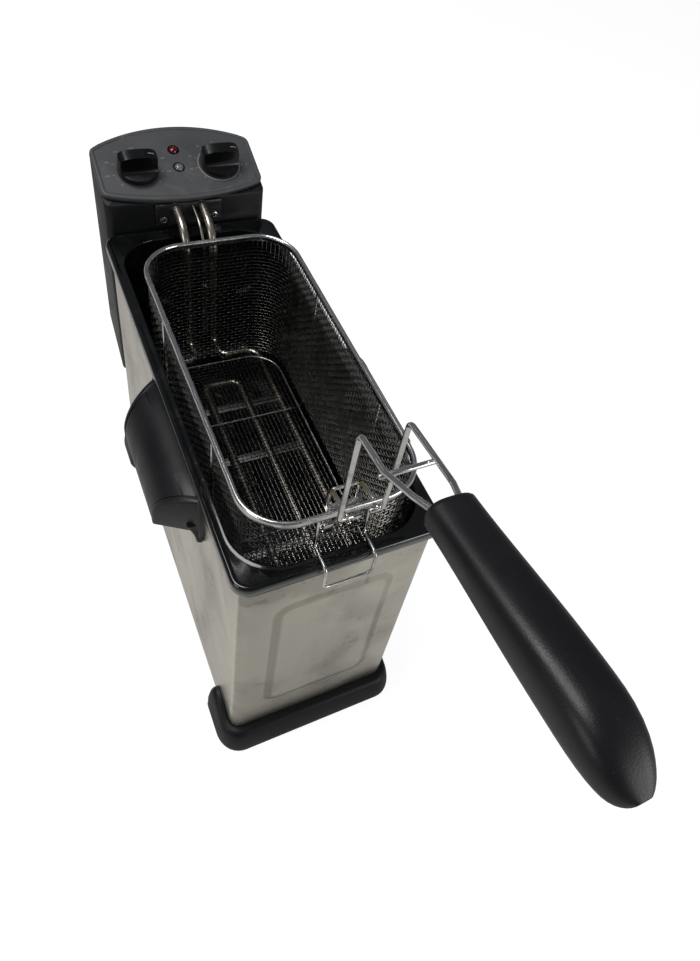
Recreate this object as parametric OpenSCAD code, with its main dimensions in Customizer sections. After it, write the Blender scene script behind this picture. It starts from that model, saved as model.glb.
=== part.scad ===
// Slim immersion deep fryer: steel housing, lift-out oil pot, lift-off
// control head with its element, wire basket and folding wire handle.
// Millimetres. Z up, front of the fryer towards -Y, base on z = 0.

/* [Body] */
// Width of the rim flange, left to right
rim_w = 150; // [146:1:158]
// Length of the rim flange, front to rear
rim_l = 361; // [352:1:380]
// Height of the rim above the surface
rim_h = 274.5; // [268:0.5:286]
// Thickness of the steel housing wall
wall_t = 1.2; // [0.8:0.1:1.5]
// Depth of the oil pot below the rim
pot_depth = 142.5; // [136:0.5:148]
// Length of each side carry grip
grip_l = 122; // [104:1:132]

/* [Control head] */
// Width of the control head
head_w = 140; // [134:1:146]
// Depth of the control head, front to rear
head_d = 57; // [54:1:62]
// Diameter of the two knobs
knob_d = 34; // [31:1:36]
// Spacing between the two knob centres
knob_gap = 71; // [66:1:76]
// Diameter of the heating tube
tube_d = 7.6; // [6.6:0.1:8]

/* [Basket and handle] */
// Width over the basket rim wire centres
basket_w = 121; // [116:1:124]
// Length over the basket rim wire centres
basket_l = 274; // [262:1:276]
// Height of the basket rim wire above the fryer rim
basket_up = 35.2; // [32:0.2:40]
// Diameter of the basket rim wire
rim_wire = 4.6; // [4:0.1:4.8]
// Rise of the handle wires above their pivots
handle_up = 82; // [72:1:92]
// Length of the handle grip
handle_l = 139; // [130:1:150]
// Width of the handle grip where it is widest
handle_w = 30.4; // [29:0.2:34]

/* [Hidden] */
$fn = 64;

// housing
sx = rim_w / 2 - 4;
sy = rim_l / 2 - 4.5;
house_z = 12;
house_top = rim_h - 4;
house_r = 9;
foot_z = 3;
foot_top = 25;
foot_w = 2 * sx + 21;
foot_l = 2 * sy + 28;
foot_r = 17;
foot_split = sy - 41;
grip_y = -41;
grip_z = rim_h - 41.5;
grip_r = 29;
grip_t = 3.6;
grip_x = sx + 2;
grip_rake = 19;
screw_dy = grip_l / 2 - 30;

// pot
skirt_z = rim_h - 9;
pot_wall = 1.5;
pot_x = rim_w / 2 - 8.5;
pot_l = rim_l - 24;
pot_y = -2.5;
pot_r = 33;
rim_r = 13;
pot_floor = rim_h - pot_depth;

// control head
head_y = rim_l / 2 + 3;
head_back = head_y + head_d;
head_mid = head_y + head_d / 2 + 3;
head_low = rim_h - 171;
tilt = 17.74;
fascia_z = rim_h + 40.1;
fascia_t = 5;
head_t = 2.6;
knob_x = knob_gap / 2;
knob_y = -3.5;
red_y = 15.5;
clear_y = -3.5;
plate_z = rim_h + 2.2;
plate_h = 21.5;
tube_x = 11.5;
tube_r = tube_d / 2;
el_z = rim_h - 111;
el_y = 147;
inlet_z = rim_h - 100;
rail_x = 44;

// basket
rim_z = rim_h + basket_up;
bw = basket_w / 2;
bl = basket_l / 2;
basket_y = -27.5;
basket_r = 32;
front_y = basket_y - bl;
wr = rim_wire / 2;
hoop_r = 1.6;
hoop_z = el_z + tube_r + 0.7 + hoop_r;
mesh_out = 0.6;
mesh_t = 1.6;
mesh_z = hoop_z + hoop_r;
mesh_top = rim_z - wr;
hoop_x = bw - mesh_out + hoop_r;
hook_x = 17.5;
hook_r = 1.8;
hook_y = -rim_l / 2 - 4.2;
hook_z = rim_h + hook_r + 0.35;
hook_b = 4;
lug_x = 9.8;
lug_t = 2.4;
brk_r = 1.7;

// handle
piv_y = front_y - 16.5;
piv_z = rim_z + 19;
hand_r = 1.7;
hand_x = 14.3;
top_z = piv_z + handle_up;
knee_y = piv_y - 29;
knee_z = top_z + 2.6;
bar_r = 1.6;
neck_x = 7.6;
grip_y0 = piv_y - 64;
grip_z0 = top_z + 14.5;
grip_rise = 8.5;
grip_in = 44;

// rounded rectangle, w across x, l along y
module rr(w, l, r) {
  square([w - 2 * r, l], center = true);
  square([w, l - 2 * r], center = true);
  for (i = [-1, 1], j = [-1, 1])
    translate([i * (w / 2 - r), j * (l / 2 - r)]) circle(r);
}

// straight round rod between two points
module rod(a, b, r) {
  d = b - a;
  len = norm(d);
  translate(a)
    rotate([0, acos(d[2] / len), atan2(d[1], d[0])])
      cylinder(r = r, h = len);
}

// bent rod through a list of points, a ball at each inner bend
module bent(p, r, ball) {
  for (i = [0 : len(p) - 2]) rod(p[i], p[i + 1], r);
  for (i = [1 : len(p) - 2]) translate(p[i]) sphere(r = ball);
}

// frame on the sloped fascia, x and y across it, z out of it
module on_fascia() {
  translate([0, head_mid, fascia_z]) rotate([tilt, 0, 0]) children();
}

// ---- housing ----
module outer_housing() {
  color([0.62, 0.61, 0.58]) difference() {
    union() {
      translate([0, 0, house_z])
        linear_extrude(height = house_top - house_z) rr(2 * sx, 2 * sy, house_r);
      translate([0, 1 - sy, rim_h * 0.53]) rotate([90, 0, 0])
        linear_extrude(height = 2) rr(93, 168, 16);
    }
    translate([0, 0, house_z + wall_t])
      linear_extrude(height = house_top)
        rr(2 * (sx - wall_t), 2 * (sy - wall_t), house_r - wall_t);
    for (j = [-1, 1])
      translate([-sx - 5, grip_y + j * screw_dy, grip_z + 2]) rotate([0, 90, 0])
        cylinder(r = 2.05, h = 2 * sx + 10);
  }
}

module base_tray() {
  color([0.07, 0.07, 0.075]) difference() {
    translate([0, 0, 5]) linear_extrude(height = house_z - 5)
      square([2 * sx - 4, 2 * foot_split], center = true);
    translate([0, 0, 4]) linear_extrude(height = 5)
      square([2 * sx - 12, 2 * foot_split - 8], center = true);
  }
}

module foot_end() {
  difference() {
    union() {
      translate([0, 0, foot_z]) linear_extrude(height = 10)
        rr(foot_w, foot_l, foot_r);
      translate([0, 0, foot_z + 9]) linear_extrude(height = 7)
        rr(foot_w - 7, foot_l - 9, foot_r - 3);
      translate([0, 0, foot_z + 15]) linear_extrude(height = foot_top - foot_z - 15)
        rr(foot_w - 14, foot_l - 18, foot_r - 5);
    }
    translate([0, 0, house_z]) linear_extrude(height = foot_top)
      rr(2 * sx, 2 * sy, house_r);
    translate([-foot_w, -foot_split, 0])
      cube([2 * foot_w, foot_l + 2 * foot_split, foot_top + 10]);
  }
}

module front_foot() {
  color([0.07, 0.07, 0.075]) foot_end();
}

module rear_foot() {
  color([0.07, 0.07, 0.075]) mirror([0, 1, 0]) foot_end();
}

module rubber_feet() {
  color([0.04, 0.04, 0.04])
    for (i = [-1, 1], j = [-1, 1])
      translate([i * (sx - 20), j * (sy - 18), 0]) cylinder(r = 10, h = foot_z);
}

// hood section in its own x-z plane, origin at the arc centre
module hood_2d(r, low) {
  intersection() {
    circle(r);
    translate([-r, 0]) square([r, r]);
  }
  translate([-r, -low]) square([r, low]);
}

// plan of the hood, raked in towards its outer edge
module hood_plan(t) {
  l = grip_l / 2 - t;
  polygon([[2, -l], [2, l], [0, l], [-grip_r, l - grip_rake],
    [-grip_r - 4, l - grip_rake], [-grip_r - 4, grip_rake - l],
    [-grip_r, grip_rake - l], [0, -l]]);
}

module hood(r, t, low) {
  intersection() {
    translate([0, grip_l, 0]) rotate([90, 0, 0])
      linear_extrude(height = 2 * grip_l) hood_2d(r, low);
    translate([0, 0, -60]) linear_extrude(height = 120) hood_plan(t);
  }
}

module side_grip() {
  difference() {
    translate([-grip_x, grip_y, grip_z]) {
      difference() {
        hood(grip_r, 0, 9);
        hood(grip_r - grip_t, grip_t, 14);
      }
      translate([-2, -grip_l / 2, -13]) cube([4, grip_l, grip_r + 13]);
      for (j = [-1, 1])
        translate([-7, j * (grip_l / 2 - 5.5) - 2.5, -24]) cube([9, 5, 25]);
    }
    for (j = [-1, 1])
      translate([-grip_x - 8, grip_y + j * screw_dy, grip_z + 2]) rotate([0, 90, 0])
        cylinder(r = 2.05, h = 16);
  }
}

module left_grip() {
  color([0.06, 0.06, 0.065]) side_grip();
}

module right_grip() {
  color([0.06, 0.06, 0.065]) mirror([1, 0, 0]) side_grip();
}

module grip_screws() {
  color([0.55, 0.55, 0.56])
    for (m = [0, 1], j = [-1, 1]) mirror([m, 0, 0])
      translate([-grip_x - 2, grip_y + j * screw_dy, grip_z + 2]) {
        rotate([0, 90, 0]) cylinder(r = 2, h = 6.5);
        rotate([0, -90, 0]) cylinder(r = 4.2, h = 2.4);
      }
}

module head_rails() {
  color([0.6, 0.6, 0.58])
    for (i = [-1, 1])
      translate([i * rail_x, sy, rim_h - 150]) difference() {
        translate([-8, 0, 0]) cube([16, 6.8, 136]);
        translate([-5.5, 1.6, -1]) cube([11, 8, 138]);
      }
}

// ---- oil pot ----
module oil_container() {
  color([0.05, 0.05, 0.055]) difference() {
    union() {
      translate([0, 0, skirt_z]) linear_extrude(height = rim_h - skirt_z)
        rr(rim_w, rim_l, rim_r);
      translate([0, pot_y, pot_floor - pot_wall])
        linear_extrude(height = pot_depth - 1)
          rr(2 * (pot_x + pot_wall), pot_l + 2 * pot_wall, pot_r + pot_wall);
    }
    difference() {
      translate([0, 0, skirt_z - 1]) linear_extrude(height = 6.5)
        rr(rim_w - 4.8, rim_l - 4.8, rim_r - 2.4);
      translate([0, pot_y, skirt_z - 2]) linear_extrude(height = 10)
        rr(2 * (pot_x + pot_wall), pot_l + 2 * pot_wall, pot_r + pot_wall);
    }
    translate([0, pot_y, pot_floor]) linear_extrude(height = pot_depth + 5)
      rr(2 * pot_x, pot_l, pot_r);
  }
}

module oil_marks() {
  color([0.5, 0.5, 0.5])
    for (z = [70, 92])
      translate([pot_x - 0.6, 30, rim_h - z]) cube([0.6, 18, 1.2]);
}

// ---- control head ----
module head_side(inset, top_drop) {
  y0 = head_y + inset;
  y1 = head_back - inset;
  s = tan(tilt);
  translate([-head_w / 2 + inset, 0, 0]) rotate([90, 0, 90])
    linear_extrude(height = head_w - 2 * inset)
      polygon([[y0, head_low + inset], [y0 + 6, head_low + inset - 0.5],
        [y1 - 5, head_low + 32 + inset], [y1, head_low + 46 + inset],
        [y1, fascia_z + (y1 - head_mid) * s - top_drop],
        [y0, fascia_z + (y0 - head_mid) * s - top_drop]]);
}

module head_shell() {
  ft = fascia_t / cos(tilt);
  color([0.06, 0.06, 0.065]) difference() {
    union() {
      intersection() {
        head_side(0, ft);
        translate([0, (head_y + head_back) / 2, 0])
          linear_extrude(height = 2 * rim_h) rr(head_w, head_d, 7);
      }
      for (i = [-1, 1])
        translate([i * rail_x - 4.6, head_y - 2.6, rim_h - 160]) cube([9.2, 3.6, 140]);
    }
    intersection() {
      head_side(head_t, -20);
      translate([0, (head_y + head_back) / 2, 0])
        linear_extrude(height = 2 * rim_h)
          rr(head_w - 2 * head_t, head_d - 2 * head_t, 4.4);
    }
    translate([-head_w / 2 + 12, head_back - 4, head_low + 56])
      cube([head_w - 24, 10, 130]);
    for (x = [-tube_x, tube_x])
      rod([x, head_y - 10, 291.4 - 274.5 + rim_h], [x, head_y + 20, 297.4 - 274.5 + rim_h],
        tube_r + 0.1);
    rod([3, head_y - 10, rim_h + 18.4], [3, head_y + 20, rim_h + 24.4], 1.3);
    for (i = [-1, 1])
      translate([i * 22.4, head_y - 5, plate_z + 5.5]) rotate([-90, 0, 0])
        cylinder(r = 1.8, h = 12);
  }
}

module rear_cover() {
  color([0.065, 0.065, 0.07]) difference() {
    translate([-head_w / 2 + 12, head_back - head_t, head_low + 56])
      cube([head_w - 24, head_t, 130]);
    translate([-18, head_back - 8, inlet_z - 12]) cube([36, 20, 24]);
    for (i = [-1, 1], z = [64, 178])
      translate([i * (head_w / 2 - 20), head_back - 8, head_low + z])
        rotate([-90, 0, 0]) cylinder(r = 1.8, h = 16);
    for (k = [0 : 4])
      translate([-26, head_back - 8, head_low + 122 + 10 * k]) cube([52, 20, 4]);
  }
}

module cover_screws() {
  color([0.5, 0.5, 0.5])
    for (i = [-1, 1], z = [64, 178])
      translate([i * (head_w / 2 - 20), head_back, head_low + z]) {
        rotate([-90, 0, 0]) cylinder(r = 3.4, h = 1.6);
        rotate([90, 0, 0]) cylinder(r = 1.75, h = 9);
      }
}

// outline: rounded plate with a bowed front and a stronger bowed rear edge
module fascia_2d() {
  rr(head_w, head_d - 1, 8);
  f = head_w / 2 - 8;
  y = (head_d - 1) / 2;
  ra = (f * f + 81) / 18;
  rb = (f * f + 196) / 28;
  intersection() {
    translate([0, ra - y - 9]) circle(r = ra, $fn = 256);
    translate([0, y + 14 - rb]) circle(r = rb, $fn = 256);
    square([2 * f, 2 * y + 34], center = true);
  }
}

module control_fascia() {
  color([0.16, 0.16, 0.165]) on_fascia() difference() {
    translate([0, 0, -fascia_t]) linear_extrude(height = fascia_t) fascia_2d();
    for (i = [-1, 1])
      translate([i * knob_x, knob_y, -10]) cylinder(r = 3.6, h = 20);
    for (y = [clear_y, red_y])
      translate([0, y, -10]) cylinder(r = 4.05, h = 20);
  }
}

module dial_marks() {
  color([0.75, 0.75, 0.74]) on_fascia()
    for (i = [-1, 1], k = [0 : 8])
      translate([i * knob_x, knob_y, 0]) rotate([0, 0, -40 + 32.5 * k])
        translate([knob_d / 2 + 2.6, -0.35, 0]) cube([2.2, 0.7, 0.25]);
}

module timer_ring() {
  color([0.7, 0.7, 0.7]) on_fascia()
    translate([knob_x, knob_y, 0]) rotate_extrude(angle = 360)
      translate([knob_d / 2 + 0.7, 0]) square([1, 0.5]);
}

module lens(y) {
  on_fascia() translate([0, y, -fascia_t - 1]) {
    cylinder(r = 4, h = fascia_t + 1);
    translate([0, 0, fascia_t + 1]) cylinder(r1 = 4, r2 = 2.8, h = 2);
  }
}

module power_lens() {
  color([0.7, 0.05, 0.06]) lens(red_y);
}

module ready_lens() {
  color([0.75, 0.8, 0.75]) lens(clear_y);
}

module lamp_holders() {
  color([0.8, 0.8, 0.75]) on_fascia()
    for (y = [clear_y, red_y])
      translate([0, y, -fascia_t - 7]) cylinder(r = 4.2, h = 6);
}

module element_plate() {
  color([0.2, 0.2, 0.2]) difference() {
    union() {
      translate([-28.8, head_y - 2, plate_z]) cube([57.6, 2, plate_h]);
      translate([-28.8, head_y - 3.2, plate_z + plate_h - 6]) cube([57.6, 3.2, 6]);
    }
    for (x = [-tube_x, tube_x])
      rod([x, head_y - 10, rim_h + 16.9], [x, head_y + 20, rim_h + 22.9], tube_r + 0.1);
    rod([3, head_y - 10, rim_h + 18.4], [3, head_y + 20, rim_h + 24.4], 1.3);
    for (i = [-1, 1])
      translate([i * 22.4, head_y - 5, plate_z + 5.5]) rotate([-90, 0, 0])
        cylinder(r = 1.8, h = 12);
  }
}

module plate_screws() {
  color([0.6, 0.6, 0.6])
    for (i = [-1, 1])
      translate([i * 22.4, head_y - 2, plate_z + 5.5]) {
        rotate([90, 0, 0]) cylinder(r = 3.4, h = 2);
        rotate([-90, 0, 0]) cylinder(r = 1.75, h = 9);
      }
}

// quarter bend of the heating tube, flat at the bed's height
module bed_bend(x, y, turn, r) {
  translate([x, y, el_z]) rotate([0, 0, turn]) rotate_extrude(angle = 90)
    translate([r, 0]) circle(r = tube_r);
}

module bed_along(x, y0, y1) {
  translate([x, y0, el_z]) rotate([-90, 0, 0]) cylinder(r = tube_r, h = y1 - y0);
}

module bed_across(x0, x1, y) {
  translate([x0, y, el_z]) rotate([0, 90, 0]) cylinder(r = tube_r, h = x1 - x0);
}

module heating_element() {
  h = rim_h;
  $fn = 32;
  color([0.5, 0.49, 0.46]) {
    for (i = [-1, 1]) {
      bent([[i * tube_x, head_y + 18, h + 22.5], [i * tube_x, el_y + 15, h + 14.6],
        [i * tube_x, el_y, h - 8]], tube_r, tube_r + 0.03);
      translate([i * tube_x, el_y, h - 8]) sphere(r = tube_r + 0.03);
      translate([i * tube_x, el_y, el_z + 8]) cylinder(r = tube_r, h = h - 16 - el_z);
      translate([i * tube_x, el_y - 8, el_z + 8]) rotate([90, 0, 90]) rotate([0, 0, 270])
        rotate_extrude(angle = 90) translate([8, 0]) circle(r = tube_r);
      bed_along(i * tube_x, 130, el_y - 8);
      bed_bend(i * (tube_x + 8), 130, i == 1 ? 180 : 270, 8);
      bed_across(i == 1 ? tube_x + 8 : -34, i == 1 ? 34 : -tube_x - 8, 122);
      bed_bend(i * 34, 110, i == 1 ? 0 : 90, 12);
      bed_along(i * 46, -128, 110);
      bed_bend(i * 38, -128, i == 1 ? 270 : 180, 8);
      bed_across(i == 1 ? 24 : -38, i == 1 ? 38 : -24, -136);
      bed_bend(i * 24, -128, i == 1 ? 180 : 270, 8);
      bed_along(i * 16, -128, 78);
      bed_bend(i * 8, 78, i == 1 ? 0 : 90, 8);
    }
    bed_across(-8, 8, 86);
  }
}

module element_support() {
  color([0.62, 0.62, 0.6])
    for (y = [-95, 0, 60]) {
      translate([-51, y - 4, el_z - tube_r - 1.2]) cube([102, 8, 1.2]);
      for (i = [-1, 1])
        translate([i * 30 - 0.8, y - 4, pot_floor + 1])
          cube([1.6, 8, el_z - tube_r - 1.2 - pot_floor - 1]);
    }
}

module capillary_tube() {
  h = rim_h;
  color([0.6, 0.6, 0.58])
    bent([[3, head_y + 18, h + 24], [3, el_y + 17, h + 16.5], [3, el_y, h - 6],
      [3, el_y, h - 40]], 1.2, 1.23);
}

module sensing_bulb() {
  color([0.55, 0.55, 0.52]) translate([3, el_y, rim_h - 98]) cylinder(r = 3, h = 58);
}

module thermostat_body() {
  color([0.72, 0.7, 0.62]) on_fascia() translate([-knob_x, knob_y, 0]) difference() {
    translate([0, 0, -fascia_t - 20]) cylinder(r = 12, h = 20);
    translate([0, 0, -fascia_t - 15]) cylinder(r = 3.05, h = 16);
  }
}

module timer_body() {
  color([0.7, 0.7, 0.66]) on_fascia() translate([knob_x, knob_y, 0]) difference() {
    translate([-13, -11, -fascia_t - 20]) cube([26, 22, 20]);
    translate([0, 0, -fascia_t - 15]) cylinder(r = 3.05, h = 16);
  }
}

module power_inlet() {
  color([0.05, 0.05, 0.055]) translate([0, head_back, inlet_z]) difference() {
    union() {
      translate([-21, 0, -15]) cube([42, 1.6, 30]);
      translate([-17.9, -18, -11.9]) cube([35.8, 19, 23.8]);
    }
    translate([-15, -13, -9]) cube([30, 20, 18]);
    for (x = [-8, 0, 8])
      translate([x, -20, 0]) rotate([-90, 0, 0]) cylinder(r = 1.65, h = 20);
  }
}

module inlet_pins() {
  color([0.75, 0.6, 0.3]) translate([0, head_back, inlet_z])
    for (x = [-8, 0, 8])
      translate([x, -20, 0]) rotate([-90, 0, 0]) cylinder(r = 1.6, h = 16);
}

// ---- knobs ----
module knob() {
  kr = knob_d / 2;
  translate([0, 0, 0.8]) cylinder(r = kr, h = 5.2);
  translate([0, 0, 6]) cylinder(r1 = kr - 0.6, r2 = kr - 3, h = 5);
  intersection() {
    translate([-kr, -6, 6]) cube([2 * kr, 12, 15]);
    translate([0, 0, 1]) cylinder(r = kr - 0.4, h = 30);
  }
  translate([0, 0, -fascia_t - 14]) cylinder(r = 3, h = fascia_t + 16);
}

module left_knob() {
  color([0.04, 0.04, 0.045]) on_fascia() translate([-knob_x, knob_y, 0]) knob();
}

module left_pointer() {
  color([0.85, 0.85, 0.84]) on_fascia() translate([-knob_x, knob_y, 0])
    translate([knob_d / 2 - 8, -0.6, 21]) cube([6, 1.2, 0.3]);
}

module right_knob() {
  color([0.04, 0.04, 0.045]) on_fascia() translate([knob_x, knob_y, 0]) knob();
}

module right_pointer() {
  color([0.85, 0.85, 0.84]) on_fascia() translate([knob_x, knob_y, 0])
    translate([knob_d / 2 - 8, -0.6, 21]) cube([6, 1.2, 0.3]);
}

// ---- basket ----
module basket_rim() {
  color([0.75, 0.75, 0.74]) translate([0, basket_y, rim_z]) {
    for (i = [-1, 1]) {
      translate([i * bw, -(bl - basket_r), 0]) rotate([-90, 0, 0])
        cylinder(r = wr, h = 2 * (bl - basket_r));
      translate([-(bw - basket_r), i * bl, 0]) rotate([0, 90, 0])
        cylinder(r = wr, h = 2 * (bw - basket_r));
    }
    for (q = [[1, 1, 0], [-1, 1, 90], [-1, -1, 180], [1, -1, 270]])
      translate([q[0] * (bw - basket_r), q[1] * (bl - basket_r), 0])
        rotate([0, 0, q[2]]) rotate_extrude(angle = 90)
          translate([basket_r, 0]) circle(r = wr);
  }
}

module basket_mesh() {
  w = 2 * (bw - mesh_out);
  l = 2 * (bl - mesh_out);
  color([0.5, 0.5, 0.49]) translate([0, basket_y, 0]) difference() {
    translate([0, 0, mesh_z]) linear_extrude(height = mesh_top - mesh_z)
      rr(w, l, basket_r - mesh_out);
    translate([0, 0, mesh_z + mesh_t]) linear_extrude(height = 300)
      rr(w - 2 * mesh_t, l - 2 * mesh_t, basket_r - mesh_out - mesh_t);
  }
}

module basket_frame() {
  color([0.7, 0.7, 0.69])
    for (y = [-58, 62])
      translate([0, basket_y + y, 0])
        bent([[-hoop_x, 0, mesh_top], [-hoop_x, 0, hoop_z],
          [hoop_x, 0, hoop_z], [hoop_x, 0, mesh_top]], hoop_r, hoop_r * 1.06);
}

module handle_bracket() {
  zi = rim_z + 15.5;
  yi = front_y + wr + brk_r + 3;
  color([0.72, 0.66, 0.5]) difference() {
    union() {
      for (i = [-1, 1]) {
        rod([i * lug_x, yi, rim_z - 24], [i * lug_x, yi, zi], brk_r);
        translate([i * lug_x, yi, zi]) sphere(r = brk_r + 0.03);
        rod([i * lug_x, yi, zi], [i * lug_x, piv_y + 3, piv_z], brk_r);
        translate([i * lug_x - lug_t / 2, piv_y, piv_z]) rotate([0, 90, 0])
          cylinder(r = 4.4, h = lug_t);
      }
      rod([-lug_x, yi, zi], [lug_x, yi, zi], brk_r - 0.1);
      rod([-lug_x, yi, rim_z - 24], [lug_x, yi, rim_z - 24], brk_r);
      for (i = [-1, 1])
        translate([i * lug_x, yi, rim_z - 24]) sphere(r = brk_r + 0.03);
      translate([-lug_x - 3, front_y + wr, rim_z - 1]) cube([2 * lug_x + 6, 4, 2]);
    }
    translate([-20, piv_y, piv_z]) rotate([0, 90, 0]) cylinder(r = 2.0, h = 40);
  }
}

module drain_hook() {
  y0 = front_y + mesh_out;
  zb = rim_h - 19;
  color([0.74, 0.74, 0.73]) {
    for (i = [-1, 1]) {
      translate([i * hook_x, y0, hook_z]) rotate([90, 0, 0])
        cylinder(r = hook_r, h = y0 - hook_y - hook_b);
      translate([i * hook_x, hook_y + hook_b, hook_z - hook_b])
        rotate([90, 0, -90]) rotate_extrude(angle = 90)
          translate([hook_b, 0]) circle(r = hook_r);
      translate([i * hook_x, hook_y, zb + hook_b])
        cylinder(r = hook_r, h = hook_z - zb - 2 * hook_b);
      translate([i * (hook_x - hook_b), hook_y, zb + hook_b])
        rotate([90, 0, 0]) rotate([0, 0, i == 1 ? -90 : 180])
          rotate_extrude(angle = 90) translate([hook_b, 0]) circle(r = hook_r);
    }
    translate([hook_b - hook_x, hook_y, zb]) rotate([0, 90, 0])
      cylinder(r = hook_r, h = 2 * (hook_x - hook_b));
  }
}

// ---- folding handle ----
module handle_wires() {
  dy = cos(grip_rise);
  dz = sin(grip_rise);
  color([0.75, 0.74, 0.72])
    for (i = [-1, 1]) {
      bent([[i * hand_x, piv_y, piv_z], [i * hand_x, piv_y - 2, top_z - 1],
        [i * hand_x, knee_y, knee_z],
        [i * (neck_x + 3.6), grip_y0 + 14, grip_z0 - 4.4],
        [i * neck_x, grip_y0 + 1, grip_z0 - dz],
        [i * neck_x, grip_y0 - grip_in * dy, grip_z0 + grip_in * dz]],
        hand_r, hand_r + 0.03);
      translate([i * hand_x, piv_y, piv_z]) sphere(r = hand_r + 0.03);
      rod([i * hand_x, piv_y, piv_z], [i * 5.2, piv_y, piv_z], 1.94);
    }
}

module handle_crossbar() {
  z = knee_z - hand_r - bar_r - 0.01;
  color([0.75, 0.74, 0.72])
    rod([-hand_x - 2.4, knee_y, z], [hand_x + 2.4, knee_y, z], bar_r);
}

// ball pair of the grip, d along it, z off its axis, w its half width
module grip_balls(d, z, w, r) {
  for (i = [-1, 1]) translate([i * (w - r), -d, z]) sphere(r = r, $fn = 32);
}

module handle_grip() {
  w = handle_w / 2;
  color([0.05, 0.05, 0.055])
    translate([0, grip_y0, grip_z0]) rotate([-grip_rise, 0, 0]) difference() {
      hull() {
        for (i = [-1, 1])
          translate([i * (w - 11), 0, -0.5]) rotate([90, 0, 0]) cylinder(r = 9.4, h = 8, $fn = 32);
        grip_balls(handle_l * 0.43, -0.3, w, 12.4);
        grip_balls(handle_l * 0.75, -0.6, w, 13);
        grip_balls(handle_l - 14, -3.5, w - 2, 11);
        grip_balls(handle_l - 7, -7.5, w - 5, 7);
      }
      for (i = [-1, 1])
        translate([i * neck_x, 4, 0]) rotate([90, 0, 0])
          cylinder(r = hand_r + 0.05, h = grip_in + 5.5);
    }
}

outer_housing();
base_tray();
front_foot();
rear_foot();
rubber_feet();
left_grip();
right_grip();
grip_screws();
head_rails();
oil_container();
oil_marks();
head_shell();
rear_cover();
cover_screws();
control_fascia();
dial_marks();
timer_ring();
power_lens();
ready_lens();
lamp_holders();
element_plate();
plate_screws();
heating_element();
element_support();
capillary_tube();
sensing_bulb();
thermostat_body();
timer_body();
power_inlet();
inlet_pins();
left_knob();
left_pointer();
right_knob();
right_pointer();
basket_rim();
basket_mesh();
basket_frame();
handle_bracket();
drain_hook();
handle_wires();
handle_crossbar();
handle_grip();
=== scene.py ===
"""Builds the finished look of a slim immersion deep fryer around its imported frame.

Every piece is shaped in millimetres in the frame's own axes (front towards -Y,
up is +Z) and turned into metres when its mesh is made.
"""

from __future__ import annotations

import logging
import math
from collections.abc import Callable, Iterable, Sequence
from dataclasses import dataclass, field
from enum import Enum

import bmesh
import bpy
from mathutils import Matrix, Vector, noise


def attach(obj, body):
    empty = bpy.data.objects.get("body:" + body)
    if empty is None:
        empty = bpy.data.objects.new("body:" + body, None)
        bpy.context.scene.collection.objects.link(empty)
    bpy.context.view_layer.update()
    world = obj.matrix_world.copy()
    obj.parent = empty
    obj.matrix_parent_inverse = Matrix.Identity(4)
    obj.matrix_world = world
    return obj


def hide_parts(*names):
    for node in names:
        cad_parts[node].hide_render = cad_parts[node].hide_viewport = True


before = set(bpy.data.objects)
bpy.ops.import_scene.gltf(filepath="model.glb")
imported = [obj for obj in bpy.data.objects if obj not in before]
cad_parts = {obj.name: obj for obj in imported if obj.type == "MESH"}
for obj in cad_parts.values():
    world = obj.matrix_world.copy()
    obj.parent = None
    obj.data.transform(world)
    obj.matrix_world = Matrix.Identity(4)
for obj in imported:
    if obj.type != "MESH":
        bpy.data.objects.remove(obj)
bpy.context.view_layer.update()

MM = 0.001
TAU = 2 * math.pi
BOTH = (-1, 1)
PANEL = (93.0, 168.0, 16.0)
PANEL_Z = 145.5
FORWARD = Matrix.Rotation(math.pi / 2, 4, "X")
BACKWARD = Matrix.Rotation(-math.pi / 2, 4, "X")
LOG = logging.getLogger("fryer")

Point = tuple[float, float, float]
Flat = tuple[float, float]
Four = tuple[float, float, float, float]


class Body(Enum):
    """Moving bodies of the fryer."""

    HOUSING = "housing"
    POT = "oil_pot"
    HEAD = "control_head"
    THERMOSTAT = "thermostat_knob"
    TIMER = "timer_knob"
    BASKET = "basket"
    HANDLE = "handle"


class Side(Enum):
    """Left or right half, as the sign of x."""

    LEFT = -1
    RIGHT = 1


# ---------------------------------------------------------------- shapes


def smooth_step(value: float) -> float:
    """Eased step, 0 below 0 and 1 above 1."""
    t = min(max(value, 0.0), 1.0)
    return t * t * (3 - 2 * t)


def mix(a: float, b: float, t: float) -> float:
    """Straight blend from a to b."""
    return a + (b - a) * t


def shift(x: float, y: float, z: float) -> Matrix:
    """Matrix that moves by a distance."""
    return Matrix.Translation((x, y, z))


def quarter(steps: int) -> list[Flat]:
    """Cosines and sines of a quarter turn in equal steps."""
    angles = (math.pi / 2 * s / steps for s in range(steps + 1))
    return [(math.cos(a), math.sin(a)) for a in angles]


def rounded_rect(
    width: float, length: float, radius: float, steps: int = 8, centre_y: float = 0.0
) -> list[Flat]:
    """Outline of a rounded rectangle, anticlockwise from its right side.

    Args:
        width: size along x.
        length: size along y.
        radius: corner radius.
        steps: segments in each corner.
        centre_y: y of the centre.

    Returns:
        Flat points, the same number for every size.
    """
    points = []
    for quarter, (i, j) in enumerate(((1, 1), (-1, 1), (-1, -1), (1, -1))):
        for s in range(steps + 1):
            a = math.pi / 2 * (quarter + s / steps)
            points.append(
                (
                    i * (width / 2 - radius) + radius * math.cos(a),
                    centre_y + j * (length / 2 - radius) + radius * math.sin(a),
                )
            )
    return points


def at_height(outline: Iterable[Flat], z: float) -> list[Vector]:
    """Lays a flat outline at one height."""
    return [Vector((x, y, z)) for x, y in outline]


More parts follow.
